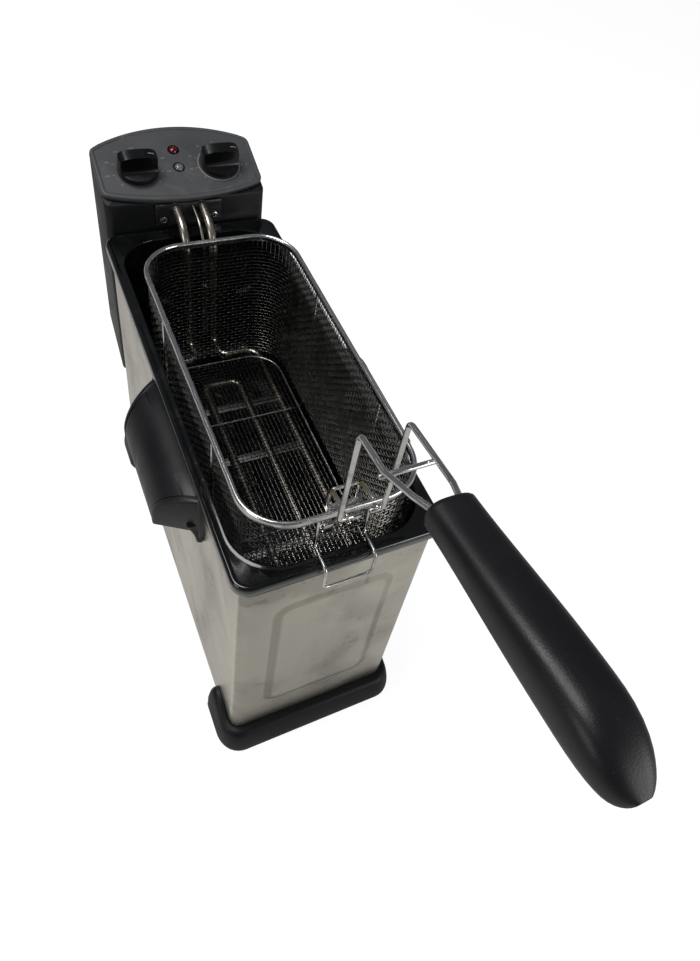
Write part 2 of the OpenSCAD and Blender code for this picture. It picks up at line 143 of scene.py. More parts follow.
def inset(outline: Sequence[Flat], distance: float) -> list[Flat]:
    """Moves an anticlockwise outline inwards by a distance.

    Args:
        outline: the flat outline.
        distance: how far inwards.

    Returns:
        The moved outline.
    """
    moved = []
    count = len(outline)
    for i, (x, y) in enumerate(outline):
        ax, ay = outline[i - 1]
        bx, by = outline[(i + 1) % count]
        dx, dy = bx - ax, by - ay
        size = math.hypot(dx, dy) or 1.0
        moved.append((x - dy / size * distance, y + dx / size * distance))
    return moved


def rounded_path(
    corners: Sequence[Point], radii: float | Sequence[float], steps: int = 7
) -> list[Vector]:
    """Rounds the inner corners of a path.

    Args:
        corners: the corner points.
        radii: one bend radius, or one for each inner corner.
        steps: segments in each bend.

    Returns:
        The path's points, with an arc at each inner corner.
    """
    pts = [Vector(c) for c in corners]
    path = [pts[0]]
    for i in range(1, len(pts) - 1):
        radius = radii if isinstance(radii, (int, float)) else radii[i - 1]
        back = (pts[i - 1] - pts[i]).normalized()
        on = (pts[i + 1] - pts[i]).normalized()
        half = back.angle(on) / 2
        if radius <= 0 or half > math.pi / 2 - 0.01:
            path.append(pts[i])
            continue
        reach = radius / math.tan(half)
        centre = pts[i] + (back + on).normalized() * (radius / math.sin(half))
        start = pts[i] + back * reach - centre
        end = pts[i] + on * reach - centre
        turn = start.angle(end)
        for s in range(steps + 1):
            t = s / steps
            arm = start * math.sin((1 - t) * turn) + end * math.sin(t * turn)
            path.append(centre + arm / math.sin(turn))
    path.append(pts[-1])
    return path


class Form:
    """Points and faces of a piece while it is shaped, in millimetres."""

    def __init__(self) -> None:
        """Starts with nothing."""
        self.points: list[Vector] = []
        self.faces: list[list[int]] = []

    def loop(self, points: Iterable[Vector]) -> list[int]:
        """Adds points and returns their numbers.

        Args:
            points: the points to add.

        Returns:
            Their numbers.
        """
        start = len(self.points)
        self.points.extend(Vector(p) for p in points)
        return list(range(start, len(self.points)))

    def skin(self, a: Sequence[int], b: Sequence[int], closed: bool = True) -> None:
        """Joins two loops of the same length with quads.

        Args:
            a: point numbers of one loop.
            b: point numbers of the other.
            closed: the loops join their own starts.
        """
        count = len(a)
        for i in range(count if closed else count - 1):
            j = (i + 1) % count
            self.faces.append([a[i], a[j], b[j], b[i]])

    def loft(
        self,
        loops: Iterable[Iterable[Vector]],
        wrap: bool = False,
        caps: tuple[bool, bool] = (True, True),
    ) -> list[list[int]]:
        """Skins a run of closed loops.

        Args:
            loops: loops with the same number of points each.
            wrap: joins the last loop to the first.
            caps: closes the first and the last loop with a face.

        Returns:
            The point numbers of each loop.
        """
        ids = [self.loop(points) for points in loops]
        for a, b in zip(ids, ids[1:]):
            self.skin(a, b)
        if wrap:
            self.skin(ids[-1], ids[0])
        else:
            if caps[0]:
                self.faces.append(ids[0][::-1])
            if caps[1]:
                self.faces.append(list(ids[-1]))
        return ids

    def sweep(
        self,
        path: Sequence[Vector],
        section: Callable[[int], Sequence[Flat]],
        closed: bool = False,
        up: Vector | None = None,
    ) -> Form:
        """Carries a flat section along a path.

        Args:
            path: points of the path.
            section: gives the section, across and up, at a path point.
            closed: the path joins its own start.
            up: fixed up direction; without it the section turns as little as it can.

        Returns:
            The form.
        """
        count = len(path)
        loops = []
        across = None
        for i, p in enumerate(path):
            before = path[(i - 1) % count] if closed or i else p
            after = path[(i + 1) % count] if closed or i < count - 1 else p
            along = (after - before).normalized()
            if up is not None:
                across = along.cross(up).normalized()
            elif across is None:
                pick = Vector((0, 0, 1)) if abs(along.z) < 0.9 else Vector((1, 0, 0))
                across = along.cross(pick).normalized()
            else:
                across = (across - along * across.dot(along)).normalized()
            rise = across.cross(along).normalized()
            loops.append([p + across * u + rise * v for u, v in section(i)])
        self.loft(loops, wrap=closed)
        return self

    def tube(
        self,
        path: Sequence[Vector],
        radius: float,
        sides: int = 12,
        closed: bool = False,
        tip: float = 0.0,
    ) -> Form:
        """Round wire along a path.

        Args:
            path: points of the path.
            radius: radius of the wire.
            sides: sides of its section.
            closed: the wire joins its own start.
            tip: rounding of the two ends.

        Returns:
            The form.
        """
        pts = list(path)
        scale = [1.0] * len(pts)
        if tip and not closed:
            first = (pts[1] - pts[0]).normalized()
            last = (pts[-2] - pts[-1]).normalized()
            pts = [
                pts[0],
                pts[0] + first * tip * 0.3,
                pts[0] + first * tip,
                *pts[1:-1],
                pts[-1] + last * tip,
                pts[-1] + last * tip * 0.3,
                pts[-1],
            ]
            ends = [1 - tip / radius, 1 - tip * 0.3 / radius]
            scale = [*ends, *[1.0] * (len(pts) - 4), *ends[::-1]]
        ring = [(math.cos(TAU * k / sides), math.sin(TAU * k / sides)) for k in range(sides)]
        return self.sweep(
            pts,
            lambda i: [(radius * scale[i] * c, radius * scale[i] * s) for c, s in ring],
            closed,
        )

    def lathe(self, profile: Sequence[Flat], steps: int = 48) -> Form:
        """Turns a profile of (radius, height) points about the local z axis.

        Args:
            profile: radius and height of each ring.
            steps: segments in a turn.

        Returns:
            This form.
        """
        rings: list[list[int]] = []
        for radius, z in profile:
            if radius < 1e-6:
                rings.append(self.loop([Vector((0, 0, z))]))
                continue
            turn = (TAU * k / steps for k in range(steps))
            rings.append(
                self.loop(Vector((radius * math.cos(a), radius * math.sin(a), z)) for a in turn)
            )
        for a, b in zip(rings, rings[1:]):
            if len(a) == 1 and len(b) == 1:
                continue
            if len(a) == 1 or len(b) == 1:
                tip, ring = (a[0], b) if len(a) == 1 else (b[0], a)
                for i in range(steps):
                    self.faces.append([tip, ring[i], ring[(i + 1) % steps]])
            else:
                self.skin(a, b)
        return self

    def slab(
        self, outline: Sequence[Flat], low: float, high: float, edge: float = 0.0, steps: int = 3
    ) -> Form:
        """Plate between two heights, with rounded edges if edge is given.

        Args:
            outline: the plan.
            low: height of the underside.
            high: height of the top.
            edge: radius of the rounded edges.
            steps: segments in each rounding.

        Returns:
            This form.
        """
        turns = quarter(steps) if edge else []
        loops = [at_height(inset(outline, edge * (1 - s)), low + edge * (1 - c)) for c, s in turns]
        loops += [at_height(inset(outline, edge * (1 - c)), high - edge * (1 - s)) for c, s in turns]
        self.loft(loops or [at_height(outline, low), at_height(outline, high)])
        return self

    def block(self, low: Point, high: Point, edge: float = 0.4) -> Form:
        """Box between two corners with its upright and flat edges eased.

        Args:
            low: lowest corner.
            high: highest corner.
            edge: rounding of the edges.

        Returns:
            This form.
        """
        w, l = high[0] - low[0], high[1] - low[1]
        part = Form().slab(rounded_rect(w, l, edge * 1.5, 3), low[2], high[2], edge, 2)
        return self.join(part.place(shift((low[0] + high[0]) / 2, (low[1] + high[1]) / 2, 0)))

    def place(self, matrix: Matrix) -> Form:
        """Moves every point by a matrix and returns the form."""
        self.points = [matrix @ p for p in self.points]
        return self

    def join(self, other: Form) -> Form:
        """Takes in another form's points and faces.

        Args:
            other: the form to take in.

        Returns:
            This form.
        """
        start = len(self.points)
        self.points.extend(other.points)
        self.faces.extend([[i + start for i in f] for f in other.faces])
        return self

    def mirrored(self) -> Form:
        """Copy on the other side of the x = 0 plane.

        Returns:
            The mirrored copy.
        """
        copy = Form()
        copy.points = [Vector((-p.x, p.y, p.z)) for p in self.points]
        copy.faces = [f[::-1] for f in self.faces]
        return copy

    def mesh(self, name: str) -> bpy.types.Mesh:
        """Makes the mesh in metres, with its faces turned outwards.

        Args:
            name: name of the mesh.

        Returns:
            The mesh.
        """
        mesh = bpy.data.meshes.new(name)
        mesh.from_pydata([p * MM for p in self.points], [], self.faces)
        work = bmesh.new()
        work.from_mesh(mesh)
        bmesh.ops.remove_doubles(work, verts=work.verts, dist=1e-6)
        bmesh.ops.recalc_face_normals(work, faces=work.faces)
        work.to_mesh(mesh)
        work.free()
        return mesh


def cut(target: bpy.types.Object, tools: Iterable[Form]) -> None:
    """Cuts closed forms out of an object's mesh.

    Args:
        target: the object to cut.
        tools: the closed forms to take away.
    """
    for number, tool in enumerate(tools):
        blade = bpy.data.objects.new("blade", tool.mesh("blade"))
        bpy.context.scene.collection.objects.link(blade)
        step = target.modifiers.new(f"cut_{number}", "BOOLEAN")
        step.operation = "DIFFERENCE"
        step.solver = "EXACT"
        step.object = blade
        apply_modifiers(target)
        bpy.data.objects.remove(blade)


def apply_modifiers(target: bpy.types.Object) -> None:
    """Turns an object's modifiers into its mesh.

    Args:
        target: the object.
    """
    graph = bpy.context.evaluated_depsgraph_get()
    made = bpy.data.meshes.new_from_object(target.evaluated_get(graph), depsgraph=graph)
    target.modifiers.clear()
    target.data = made


def soften(target: bpy.types.Object, width: float, segments: int = 2, angle: float = 35) -> None:
    """Rounds an object's sharp edges by a width in millimetres.

    Args:
        target: the object.
        width: width of the rounding.
        segments: faces across it.
        angle: least angle of an edge that is rounded, in degrees.
    """
    edge = target.modifiers.new("soften", "BEVEL")
    edge.width = width * MM
    edge.segments = segments
    edge.limit_method = "ANGLE"
    edge.angle_limit = math.radians(angle)
    edge.use_clamp_overlap = True
    apply_modifiers(target)


def piece(
    form: Form,
    name: str,
    body: Body,
    finish: Finish,
    replaces: Sequence[str] = (),
    crease: float = 35,
    cuts: Sequence[Form] = (),
    edge: float = 0.0,
    rounding: tuple[float, int, float] | None = None,
) -> bpy.types.Object:
    """Makes one finished piece of the fryer.

    Args:
        form: its shape.
        name: its name in the scene.
        body: the body it moves with.
        finish: its surface.
        replaces: frame nodes it stands for.
        crease: faces that meet at less than this angle are shaded as one.
        cuts: forms cut out of it.
        edge: rounding of its sharp edges, in millimetres.
        rounding: width, segments and least angle of a last rounding.

    Returns:
        The object in the scene.
    """
    made = bpy.data.objects.new(name, form.mesh(name))
    bpy.context.scene.collection.objects.link(made)
    cut(made, cuts)
    if edge:
        soften(made, edge)
    made.data.name = name
    made.data.materials.clear()
    made.data.materials.append(finish.material())
    made.data.polygons.foreach_set("use_smooth", [True] * len(made.data.polygons))
    made.data.set_sharp_from_angle(angle=math.radians(crease))
    if rounding:
        soften(made, *rounding)
        made.data.set_sharp_from_angle(angle=math.radians(crease))
    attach(made, body.value)
    if replaces:
        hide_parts(*replaces)
    LOG.info("%s: %d faces, rides %s", name, len(made.data.polygons), body.value)
    return made


# ---------------------------------------------------------------- finishes

Colour = Point
Socket = bpy.types.NodeSocket
MIX_A, MIX_B, MIX_RESULT = 6, 7, 2


class Shader:
    """Node tree of one material, with short calls to add and join its nodes."""

    def __init__(self, name: str) -> None:
        """Starts a material with an empty surface shader.

        Args:
            name: name of the material.
        """
        self.material = bpy.data.materials.new(name)
        self.material.use_nodes = True
        self.tree = self.material.node_tree
        self.tree.nodes.clear()
        self.out = self.node("ShaderNodeOutputMaterial")
        self.surface = self.node("ShaderNodeBsdfPrincipled")
        self.join(self.surface.outputs[0], self.out.inputs["Surface"])
        self.place = self.node("ShaderNodeTexCoord").outputs["Object"]

    def node(self, kind: str, **settings: object) -> bpy.types.Node:
        """Adds a node with its settings.

        Args:
            kind: type of the node.
            settings: values of its own settings.

        Returns:
            The new node.
        """
        made = self.tree.nodes.new(kind)
        for key, value in settings.items():
            setattr(made, key, value)
        return made

    def join(self, source: Socket, target: Socket) -> None:
        """Links two sockets."""
        self.tree.links.new(source, target)

    def set(self, **values: float | Colour) -> None:
        """Sets plain values on the surface shader, with _ for a space in a socket's name."""
        for key, value in values.items():
            plain = (*value, 1.0) if isinstance(value, tuple) else value
            self.surface.inputs[key.replace("_", " ")].default_value = plain

    def feed(self, name: str, source: Socket) -> None:
        """Links a source to one of the surface shader's sockets."""
        self.join(source, self.surface.inputs[name])

    def stretched(self, x: float, y: float, z: float) -> Socket:
        """Object coordinates scaled by axis.

        Args:
            x: scale along x.
            y: scale along y.
            z: scale along z.

        Returns:
            The scaled coordinates.
        """
        mapping = self.node("ShaderNodeMapping")
        self.join(self.place, mapping.inputs["Vector"])
        mapping.inputs["Scale"].default_value = (x, y, z)
        return mapping.outputs[0]

    def noise(
        self,
        scale: float,
        detail: float = 3.0,
        warp: float = 0.0,
        stretch: Point = (1, 1, 1),
    ) -> Socket:
        """Soft noise.

        Args:
            scale: cycles in a metre.
            detail: finer octaves.
            warp: distortion.
            stretch: scale by axis.

        Returns:
            Its factor socket.
        """
        made = self.node("ShaderNodeTexNoise")
        self.join(self.stretched(*stretch), made.inputs["Vector"])
        made.inputs["Scale"].default_value = scale
        made.inputs["Detail"].default_value = detail
        made.inputs["Distortion"].default_value = warp
        return made.outputs[0]

    def cells(self, scale: float) -> Socket:
        """Distance to the nearest cell centre, with scale cells in a metre.

        Args:
            scale: cells in a metre.

        Returns:
            The distance.
        """
        made = self.node("ShaderNodeTexVoronoi")
        self.join(self.place, made.inputs["Vector"])
        made.inputs["Scale"].default_value = scale
        return made.outputs["Distance"]

    def ramp(self, source: Socket, low: float, high: float, a: float = 0.0, b: float = 1.0) -> Socket:
        """Stretches source from low..high to a..b, clamped.

        Args:
            source: the value to stretch.
            low: value that becomes a.
            high: value that becomes b.
            a: first end of the result.
            b: other end of the result.

        Returns:
            The stretched value.
        """
        made = self.node("ShaderNodeMapRange", interpolation_type="SMOOTHSTEP")
        self.join(source, made.inputs["Value"])
        for key, value in (("From Min", low), ("From Max", high), ("To Min", a), ("To Max", b)):
            made.inputs[key].default_value = value
        return made.outputs[0]

    def maths(self, kind: str, a: Socket, b: Socket | float = 0.0) -> Socket:
        """Result of a math node of any kind.

        Args:
            kind: operation of the node.
            a: first input.
            b: second input.

        Returns:
            The result.
        """
        made = self.node("ShaderNodeMath", operation=kind)
        self.join(a, made.inputs[0])
        if isinstance(b, (int, float)):
            made.inputs[1].default_value = b
        else:
            self.join(b, made.inputs[1])
        return made.outputs[0]

    def times(self, a: Socket, b: Socket | float) -> Socket:
        """Product of a socket and another socket or number."""
        return self.maths("MULTIPLY", a, b)

    def plus(self, a: Socket, b: Socket) -> Socket:
        """Sum of two sockets."""
        return self.maths("ADD", a, b)

    def tinted(self, amount: Socket, a: Colour | Socket, b: Colour | Socket) -> Socket:
        """Colour that goes from a to b with amount.

        Args:
            amount: share of b.
            a: colour where amount is 0.
            b: colour where amount is 1.

        Returns:
            The mixed colour.
        """
        made = self.node("ShaderNodeMix", data_type="RGBA")
        self.join(amount, made.inputs[0])
        for place, colour in ((MIX_A, a), (MIX_B, b)):
            if isinstance(colour, tuple):
                made.inputs[place].default_value = (*colour, 1.0)
            else:
                self.join(colour, made.inputs[place])
        return made.outputs[MIX_RESULT]

    def relief(self, height: Socket, depth: float, strength: float) -> None:
        """Small relief on the surface.

        Args:
            height: where it stands up.
            depth: depth in millimetres.
            strength: how much of it shows.
        """
        made = self.node("ShaderNodeBump")
        made.inputs["Strength"].default_value = strength
        made.inputs["Distance"].default_value = depth * MM
        self.join(height, made.inputs["Height"])
        self.feed("Normal", made.outputs[0])

    def axis(self, name: str) -> Socket:
        """One object coordinate, in metres.

        Args:
            name: X, Y or Z.

        Returns:
            The coordinate.
        """
        made = self.node("ShaderNodeSeparateXYZ")
        self.join(self.place, made.inputs[0])
        return made.outputs[name]

    def frame_depth(self, width: float, height: float, middle: float, corner: float) -> Socket:
        """Distance outside a rounded rectangle in the x z plane, in metres.

        Args:
            width: width along x.
            height: height along z.
            middle: z of its centre.
            corner: corner radius.

        Returns:
            The distance, negative inside.
        """
        flat = self.maths("ABSOLUTE", self.axis("X"))
        tall = self.maths("ABSOLUTE", self.maths("SUBTRACT", self.axis("Z"), middle))
        dx = self.maths("SUBTRACT", flat, width / 2 - corner)
        dz = self.maths("SUBTRACT", tall, height / 2 - corner)
        ox, oz = self.maths("MAXIMUM", dx, 0.0), self.maths("MAXIMUM", dz, 0.0)
        squares = self.plus(self.times(ox, ox), self.times(oz, oz))
        inner = self.maths("MINIMUM", self.maths("MAXIMUM", dx, dz), 0.0)
        away = self.plus(self.maths("SQRT", squares), inner)
        return self.maths("SUBTRACT", away, corner)


def shade(colour: Colour, amount: float) -> Colour:
    """Colour made lighter or darker by a factor."""
    return tuple(min(c * amount, 1.0) for c in colour)


MADE: dict[str, bpy.types.Material] = {}


@dataclass(frozen=True)
class Finish:
    """A surface, named by its slot in the record."""

    slot: str
    colour: Colour

    def dress(self, shader: Shader) -> None:
        """Adds the finish's nodes to a new material."""
        raise NotImplementedError

    def material(self) -> bpy.types.Material:
        """The finish's material, made once.

        Returns:
            The material.
        """
        if self.slot not in MADE:
            shader = Shader(self.slot)
            self.dress(shader)
            MADE[self.slot] = shader.material
        return MADE[self.slot]


@dataclass(frozen=True)
class SheetSteel(Finish):
    """Brushed sheet steel with wiped smudges and finger marks, and painted shade on its front: darker
    towards the left and along the pressed panel's edge.
    """

    roughness: float = 0.34
    smudge: float = 0.5
    # Painted shade on the front face, darker towards the left: its strength and its span in x.
    left_shade: float = 0.0
    left_shade_x: Flat = (-0.07, 0.055)
    front_y: Flat = (-0.1725, -0.1705)
    # Darkening of the colour under the smudges and under the front's painted shade.
    smudge_and_shade_factor: float = 0.4
    brush: Point = (60, 60, 2600)
    panel: Four | None = None

    def panel_edge_shade(self, shader: Shader, streak: Socket) -> Socket:
        """Painted shade in a band along the pressed panel's edge.

        Args:
            shader: shader of the material.
            streak: the streaks that break the painted shade up.

        Returns:
            The painted shade, 0 to 1.
        """
        depth = shader.frame_depth(*self.panel)
        band = shader.times(
            shader.ramp(depth, -0.0085, -0.0055), shader.ramp(depth, -0.0015, 0.0002, 1, 0)
        )
        # Stronger towards the left of the panel, like the rest of the painted shade.
        faded = shader.times(band, shader.ramp(shader.axis("X"), -0.045, 0.045, 0.8, 0.5))
        return shader.times(faded, shader.ramp(streak, 0, 1, 0.4, 0.8))

    def dress(self, shader: Shader) -> None:
        """Adds brushing, smudges and marks, and painted shade on the front.

        Args:
            shader: shader to add them to.
        """
        lines = shader.noise(1.0, 2, stretch=self.brush)
        cloud = shader.noise(15, 5, 0.35)
        wipe = shader.noise(11, 4, 0.3, (1, 1, 0.3))
        marks = shader.noise(120, 4, 0.6)
        smear = shader.ramp(cloud, 0.44, 0.62)
        streak = shader.ramp(wipe, 0.42, 0.66)
        dabs = shader.times(shader.ramp(marks, 0.56, 0.68), smear)
        smudge_and_shade = shader.times(shader.plus(shader.plus(smear, streak), dabs), self.smudge / 2)
        # Painted shade on the front face: darker towards the left, broken into streaks, plus a band
        # along the pressed panel's edge; the mask built here is painted shade, not a film of dirt, and
        # it darkens the colour like the smudges do.
        if self.panel:
            front = shader.ramp(shader.axis("Y"), *self.front_y, 1, 0)
            left_shade = shader.ramp(shader.axis("X"), *self.left_shade_x, self.left_shade, 0)
            film = shader.times(left_shade, shader.ramp(wipe, 0.25, 0.6, 0.65, 1))
            film = shader.plus(film, self.panel_edge_shade(shader, streak))
            smudge_and_shade = shader.plus(smudge_and_shade, shader.times(film, front))
        clean = shader.tinted(lines, shade(self.colour, 0.93), shade(self.colour, 1.07))
        # One darker colour serves both the smudges and the painted shade.
        smudge_and_shade_colour = shade(self.colour, self.smudge_and_shade_factor)
        shader.feed("Base Color", shader.tinted(smudge_and_shade, clean, smudge_and_shade_colour))
        spread = shader.plus(
            shader.ramp(smudge_and_shade, 0, 1, self.roughness, self.roughness + 0.2),
            shader.ramp(lines, 0.3, 0.7, -0.03, 0.03),
        )
        shader.feed("Roughness", spread)
        shader.relief(lines, 0.02, 0.35)
        shader.set(Metallic=1.0, Anisotropic=0.35)


@dataclass(frozen=True)
class MouldedPlastic(Finish):
    """Moulded plastic with a fine sparked grain."""

    roughness: float = 0.4
    grain: float = 1500
    depth: float = 0.03
    mottle: float = 1.5
    specular: float = 0.5
    flecks: float = 0.0

    def dress(self, shader: Shader) -> None:
        """Adds grain, mottling, rubbed patches and flecks.

        Args:
            shader: shader to add them to.
        """
        fine = shader.cells(self.grain)
        patch = shader.noise(28, 4, 0.6)
        wear = shader.ramp(shader.noise(70, 5, 1.0), 0.52, 0.72)
        base = shader.tinted(patch, self.colour, shade(self.colour, self.mottle))
        base = shader.tinted(shader.times(wear, 0.5), base, shade(self.colour, self.mottle * 1.5))
        if self.flecks:
            fleck = shader.ramp(shader.noise(900, 2), 0.7, 0.78)
            base = shader.tinted(shader.times(fleck, self.flecks), base, (0.32, 0.32, 0.33))
        shader.feed("Base Color", base)
        rough = shader.plus(
            shader.ramp(patch, 0.3, 0.7, self.roughness - 0.05, self.roughness + 0.06),
            shader.times(wear, -0.06),
        )
        shader.feed("Roughness", rough)
        shader.relief(fine, self.depth, 0.6)
        shader.set(Specular_IOR_Level=self.specular)


@dataclass(frozen=True)
class GlossEnamel(Finish):
    """Black gloss coating with a faint orange peel and an oil film."""

    roughness: float = 0.1

    def dress(self, shader: Shader) -> None:
        """Adds the peel, the film and its smears.

        Args:
            shader: shader to add them to.
        """
        peel = shader.noise(420, 2)
        film = shader.ramp(shader.noise(24, 5, 1.4), 0.44, 0.66)
        spots = shader.ramp(shader.noise(260, 3, 0.5), 0.6, 0.7)
        shader.feed("Base Color", shader.tinted(film, self.colour, shade(self.colour, 1.9)))
        rough = shader.plus(
            shader.ramp(film, 0, 1, self.roughness, self.roughness + 0.13),
            shader.times(spots, 0.12),
        )
        shader.feed("Roughness", rough)
        shader.relief(peel, 0.05, 0.25)
        shader.set(Coat_Weight=0.4, Coat_Roughness=0.08)


@dataclass(frozen=True)
class Plated(Finish):
    """Bright plated wire or steel, dulled a little by use."""

    roughness: float = 0.2
    dull: float = 0.6
    tint: Colour | None = None
    tint_low: float = 0.0
    tint_high: float = 0.0

    def dress(self, shader: Shader) -> None:
        """Adds dulled patches, scratches and, where given, a heat tint by height.

        Args:
            shader: shader to add them to.
        """
        patch = shader.noise(60, 4, 0.8)
        fine = shader.noise(900, 3)
        base = shader.tinted(shader.ramp(patch, 0.4, 0.68), self.colour, shade(self.colour, self.dull))
        if self.tint:
            rise = shader.ramp(shader.axis("Z"), self.tint_low, self.tint_high)
            fall = shader.ramp(shader.axis("Z"), self.tint_high, self.tint_high + 0.006, 1, 0)
            heat = shader.times(rise, fall)
            uneven = shader.times(heat, shader.ramp(shader.noise(140, 2), 0.35, 0.6, 0.25, 1))
            base = shader.tinted(uneven, base, self.tint)
        shader.feed("Base Color", base)
        rough = shader.plus(
            shader.ramp(patch, 0.35, 0.7, self.roughness - 0.05, self.roughness + 0.12),
            shader.ramp(fine, 0.3, 0.7, -0.03, 0.04),
        )
        shader.feed("Roughness", rough)
        shader.relief(fine, 0.01, 0.3)
        shader.set(Metallic=1.0)


@dataclass(frozen=True)
class OiledSteel(Finish):
    """Heater tube steel, browned in patches by hot oil."""

    stain: Colour = (0.22, 0.17, 0.1)

    def dress(self, shader: Shader) -> None:
        """Adds the stains and a drawn grain.

        Args:
            shader: shader to add them to.
        """
        stains = shader.ramp(shader.noise(38, 5, 1.0), 0.5, 0.7)
        fine = shader.noise(1.0, 3, stretch=(1400, 240, 1400))
        base = shader.tinted(fine, self.colour, shade(self.colour, 0.84))
        shader.feed("Base Color", shader.tinted(shader.times(stains, 0.35), base, self.stain))
        shader.feed("Roughness", shader.ramp(stains, 0, 1, 0.26, 0.46))
        shader.relief(fine, 0.015, 0.15)
        shader.set(Metallic=1.0)


@dataclass(frozen=True)
class LampLens(Finish):
    """Clear coloured lens with a moulded diffusing inside."""

    def dress(self, shader: Shader) -> None:
        """Adds the moulded facets and a deeper colour towards them.

        Args:
            shader: shader to add them to.
        """
        facets = shader.cells(1400)
        shader.feed("Base Color", shader.tinted(facets, self.colour, shade(self.colour, 0.55)))
        shader.feed("Roughness", shader.ramp(facets, 0, 1, 0.05, 0.16))
        shader.relief(facets, 0.05, 0.3)
        shader.set(Transmission_Weight=0.55, IOR=1.49, Coat_Weight=0.5)


@dataclass(frozen=True)
class Ink(Finish):
    """Printed marks, a little worn."""

    def dress(self, shader: Shader) -> None:
        """Adds the worn spots.

        Args:
            shader: shader to add them to.
        """
        worn = shader.ramp(shader.noise(1500, 3), 0.5, 0.68)
        shader.feed("Base Color", shader.tinted(worn, self.colour, shade(self.colour, 0.6)))
        shader.feed("Roughness", shader.ramp(worn, 0, 1, 0.45, 0.6))


@dataclass(frozen=True)
class Rubber(Finish):
    """Soft black rubber with dust in its grain."""

    def dress(self, shader: Shader) -> None:
        """Adds the grain and the dust.

        Args:
            shader: shader to add them to.
        """
        fine = shader.noise(1100, 4)
        dust = shader.ramp(shader.noise(90, 4), 0.5, 0.75)
        shader.feed(
            "Base Color", shader.tinted(shader.times(dust, 0.5), self.colour, (0.11, 0.105, 0.1))
        )
        shader.feed("Roughness", shader.ramp(fine, 0.3, 0.7, 0.75, 0.92))
        shader.relief(fine, 0.06, 0.6)


# Its front carries painted shade, darker towards the left and along the pressed panel's edge.
STEEL = SheetSteel(
    "brushed_steel", (0.8, 0.768, 0.668), roughness=0.3, left_shade=0.72,
    panel=(PANEL[0] * MM, PANEL[1] * MM, PANEL_Z * MM, PANEL[2] * MM),
)
BLACK = MouldedPlastic(
    "black_plastic", (0.005, 0.0054, 0.006), roughness=0.44, grain=1300, mottle=1.3, specular=0.3
)
RUBBER = Rubber("rubber", (0.025, 0.025, 0.025))
GRIP = MouldedPlastic(
    "grip_plastic", (0.0065, 0.0065, 0.0075), roughness=0.4, grain=1100, depth=0.05, mottle=1.4,
    specular=0.42, flecks=0.12
)
SCREW = Plated("screw_steel", (0.42, 0.42, 0.42), roughness=0.3)
PLAIN_STEEL = SheetSteel("plain_steel", (0.5, 0.49, 0.47), smudge=0.4, brush=(1800, 60, 60))
ENAMEL = GlossEnamel("black_enamel", (0.0025, 0.0028, 0.0028))
MARK_GREY = Ink("mark_grey", (0.3, 0.3, 0.3))
FASCIA = MouldedPlastic(
    "fascia_grey", (0.062, 0.063, 0.065), roughness=0.46, grain=2200, depth=0.03, mottle=1.25
)
MARK_WHITE = Ink("mark_white", (0.3, 0.3, 0.3))
RED_LENS = LampLens("red_lens", (0.36, 0.008, 0.016))
CLEAR_LENS = LampLens("clear_lens", (0.5, 0.53, 0.5))
HOLDER = MouldedPlastic("holder_plastic", (0.55, 0.53, 0.46), roughness=0.5, mottle=1.1)
DARK_PLATE = GlossEnamel("dark_plate", (0.02, 0.02, 0.021), roughness=0.32)
ELEMENT = OiledSteel("element_steel", (0.5, 0.47, 0.4))
BRASS = Plated("pin_brass", (0.62, 0.47, 0.2), roughness=0.25)
KNOB = MouldedPlastic(
    "knob_plastic", (0.0022, 0.0025, 0.003), roughness=0.25, grain=900, depth=0.01, specular=0.45
)
CHROME = Plated("chrome_wire", (0.74, 0.73, 0.71), roughness=0.2, dull=0.6)
# Same plated wire as the chrome, given a dark colour as painted shade for the dim inside of the pot.
MESH_WIRE = Plated("mesh_wire", (0.2, 0.195, 0.18), roughness=0.2, dull=0.5)
TINTED = Plated(
    "tinted_wire",
    (0.64, 0.63, 0.6),
    roughness=0.2,
    dull=0.75,
    tint=(0.5, 0.38, 0.12),
    tint_low=0.32,
    tint_high=0.3275,
)


# ---------------------------------------------------------------- housing


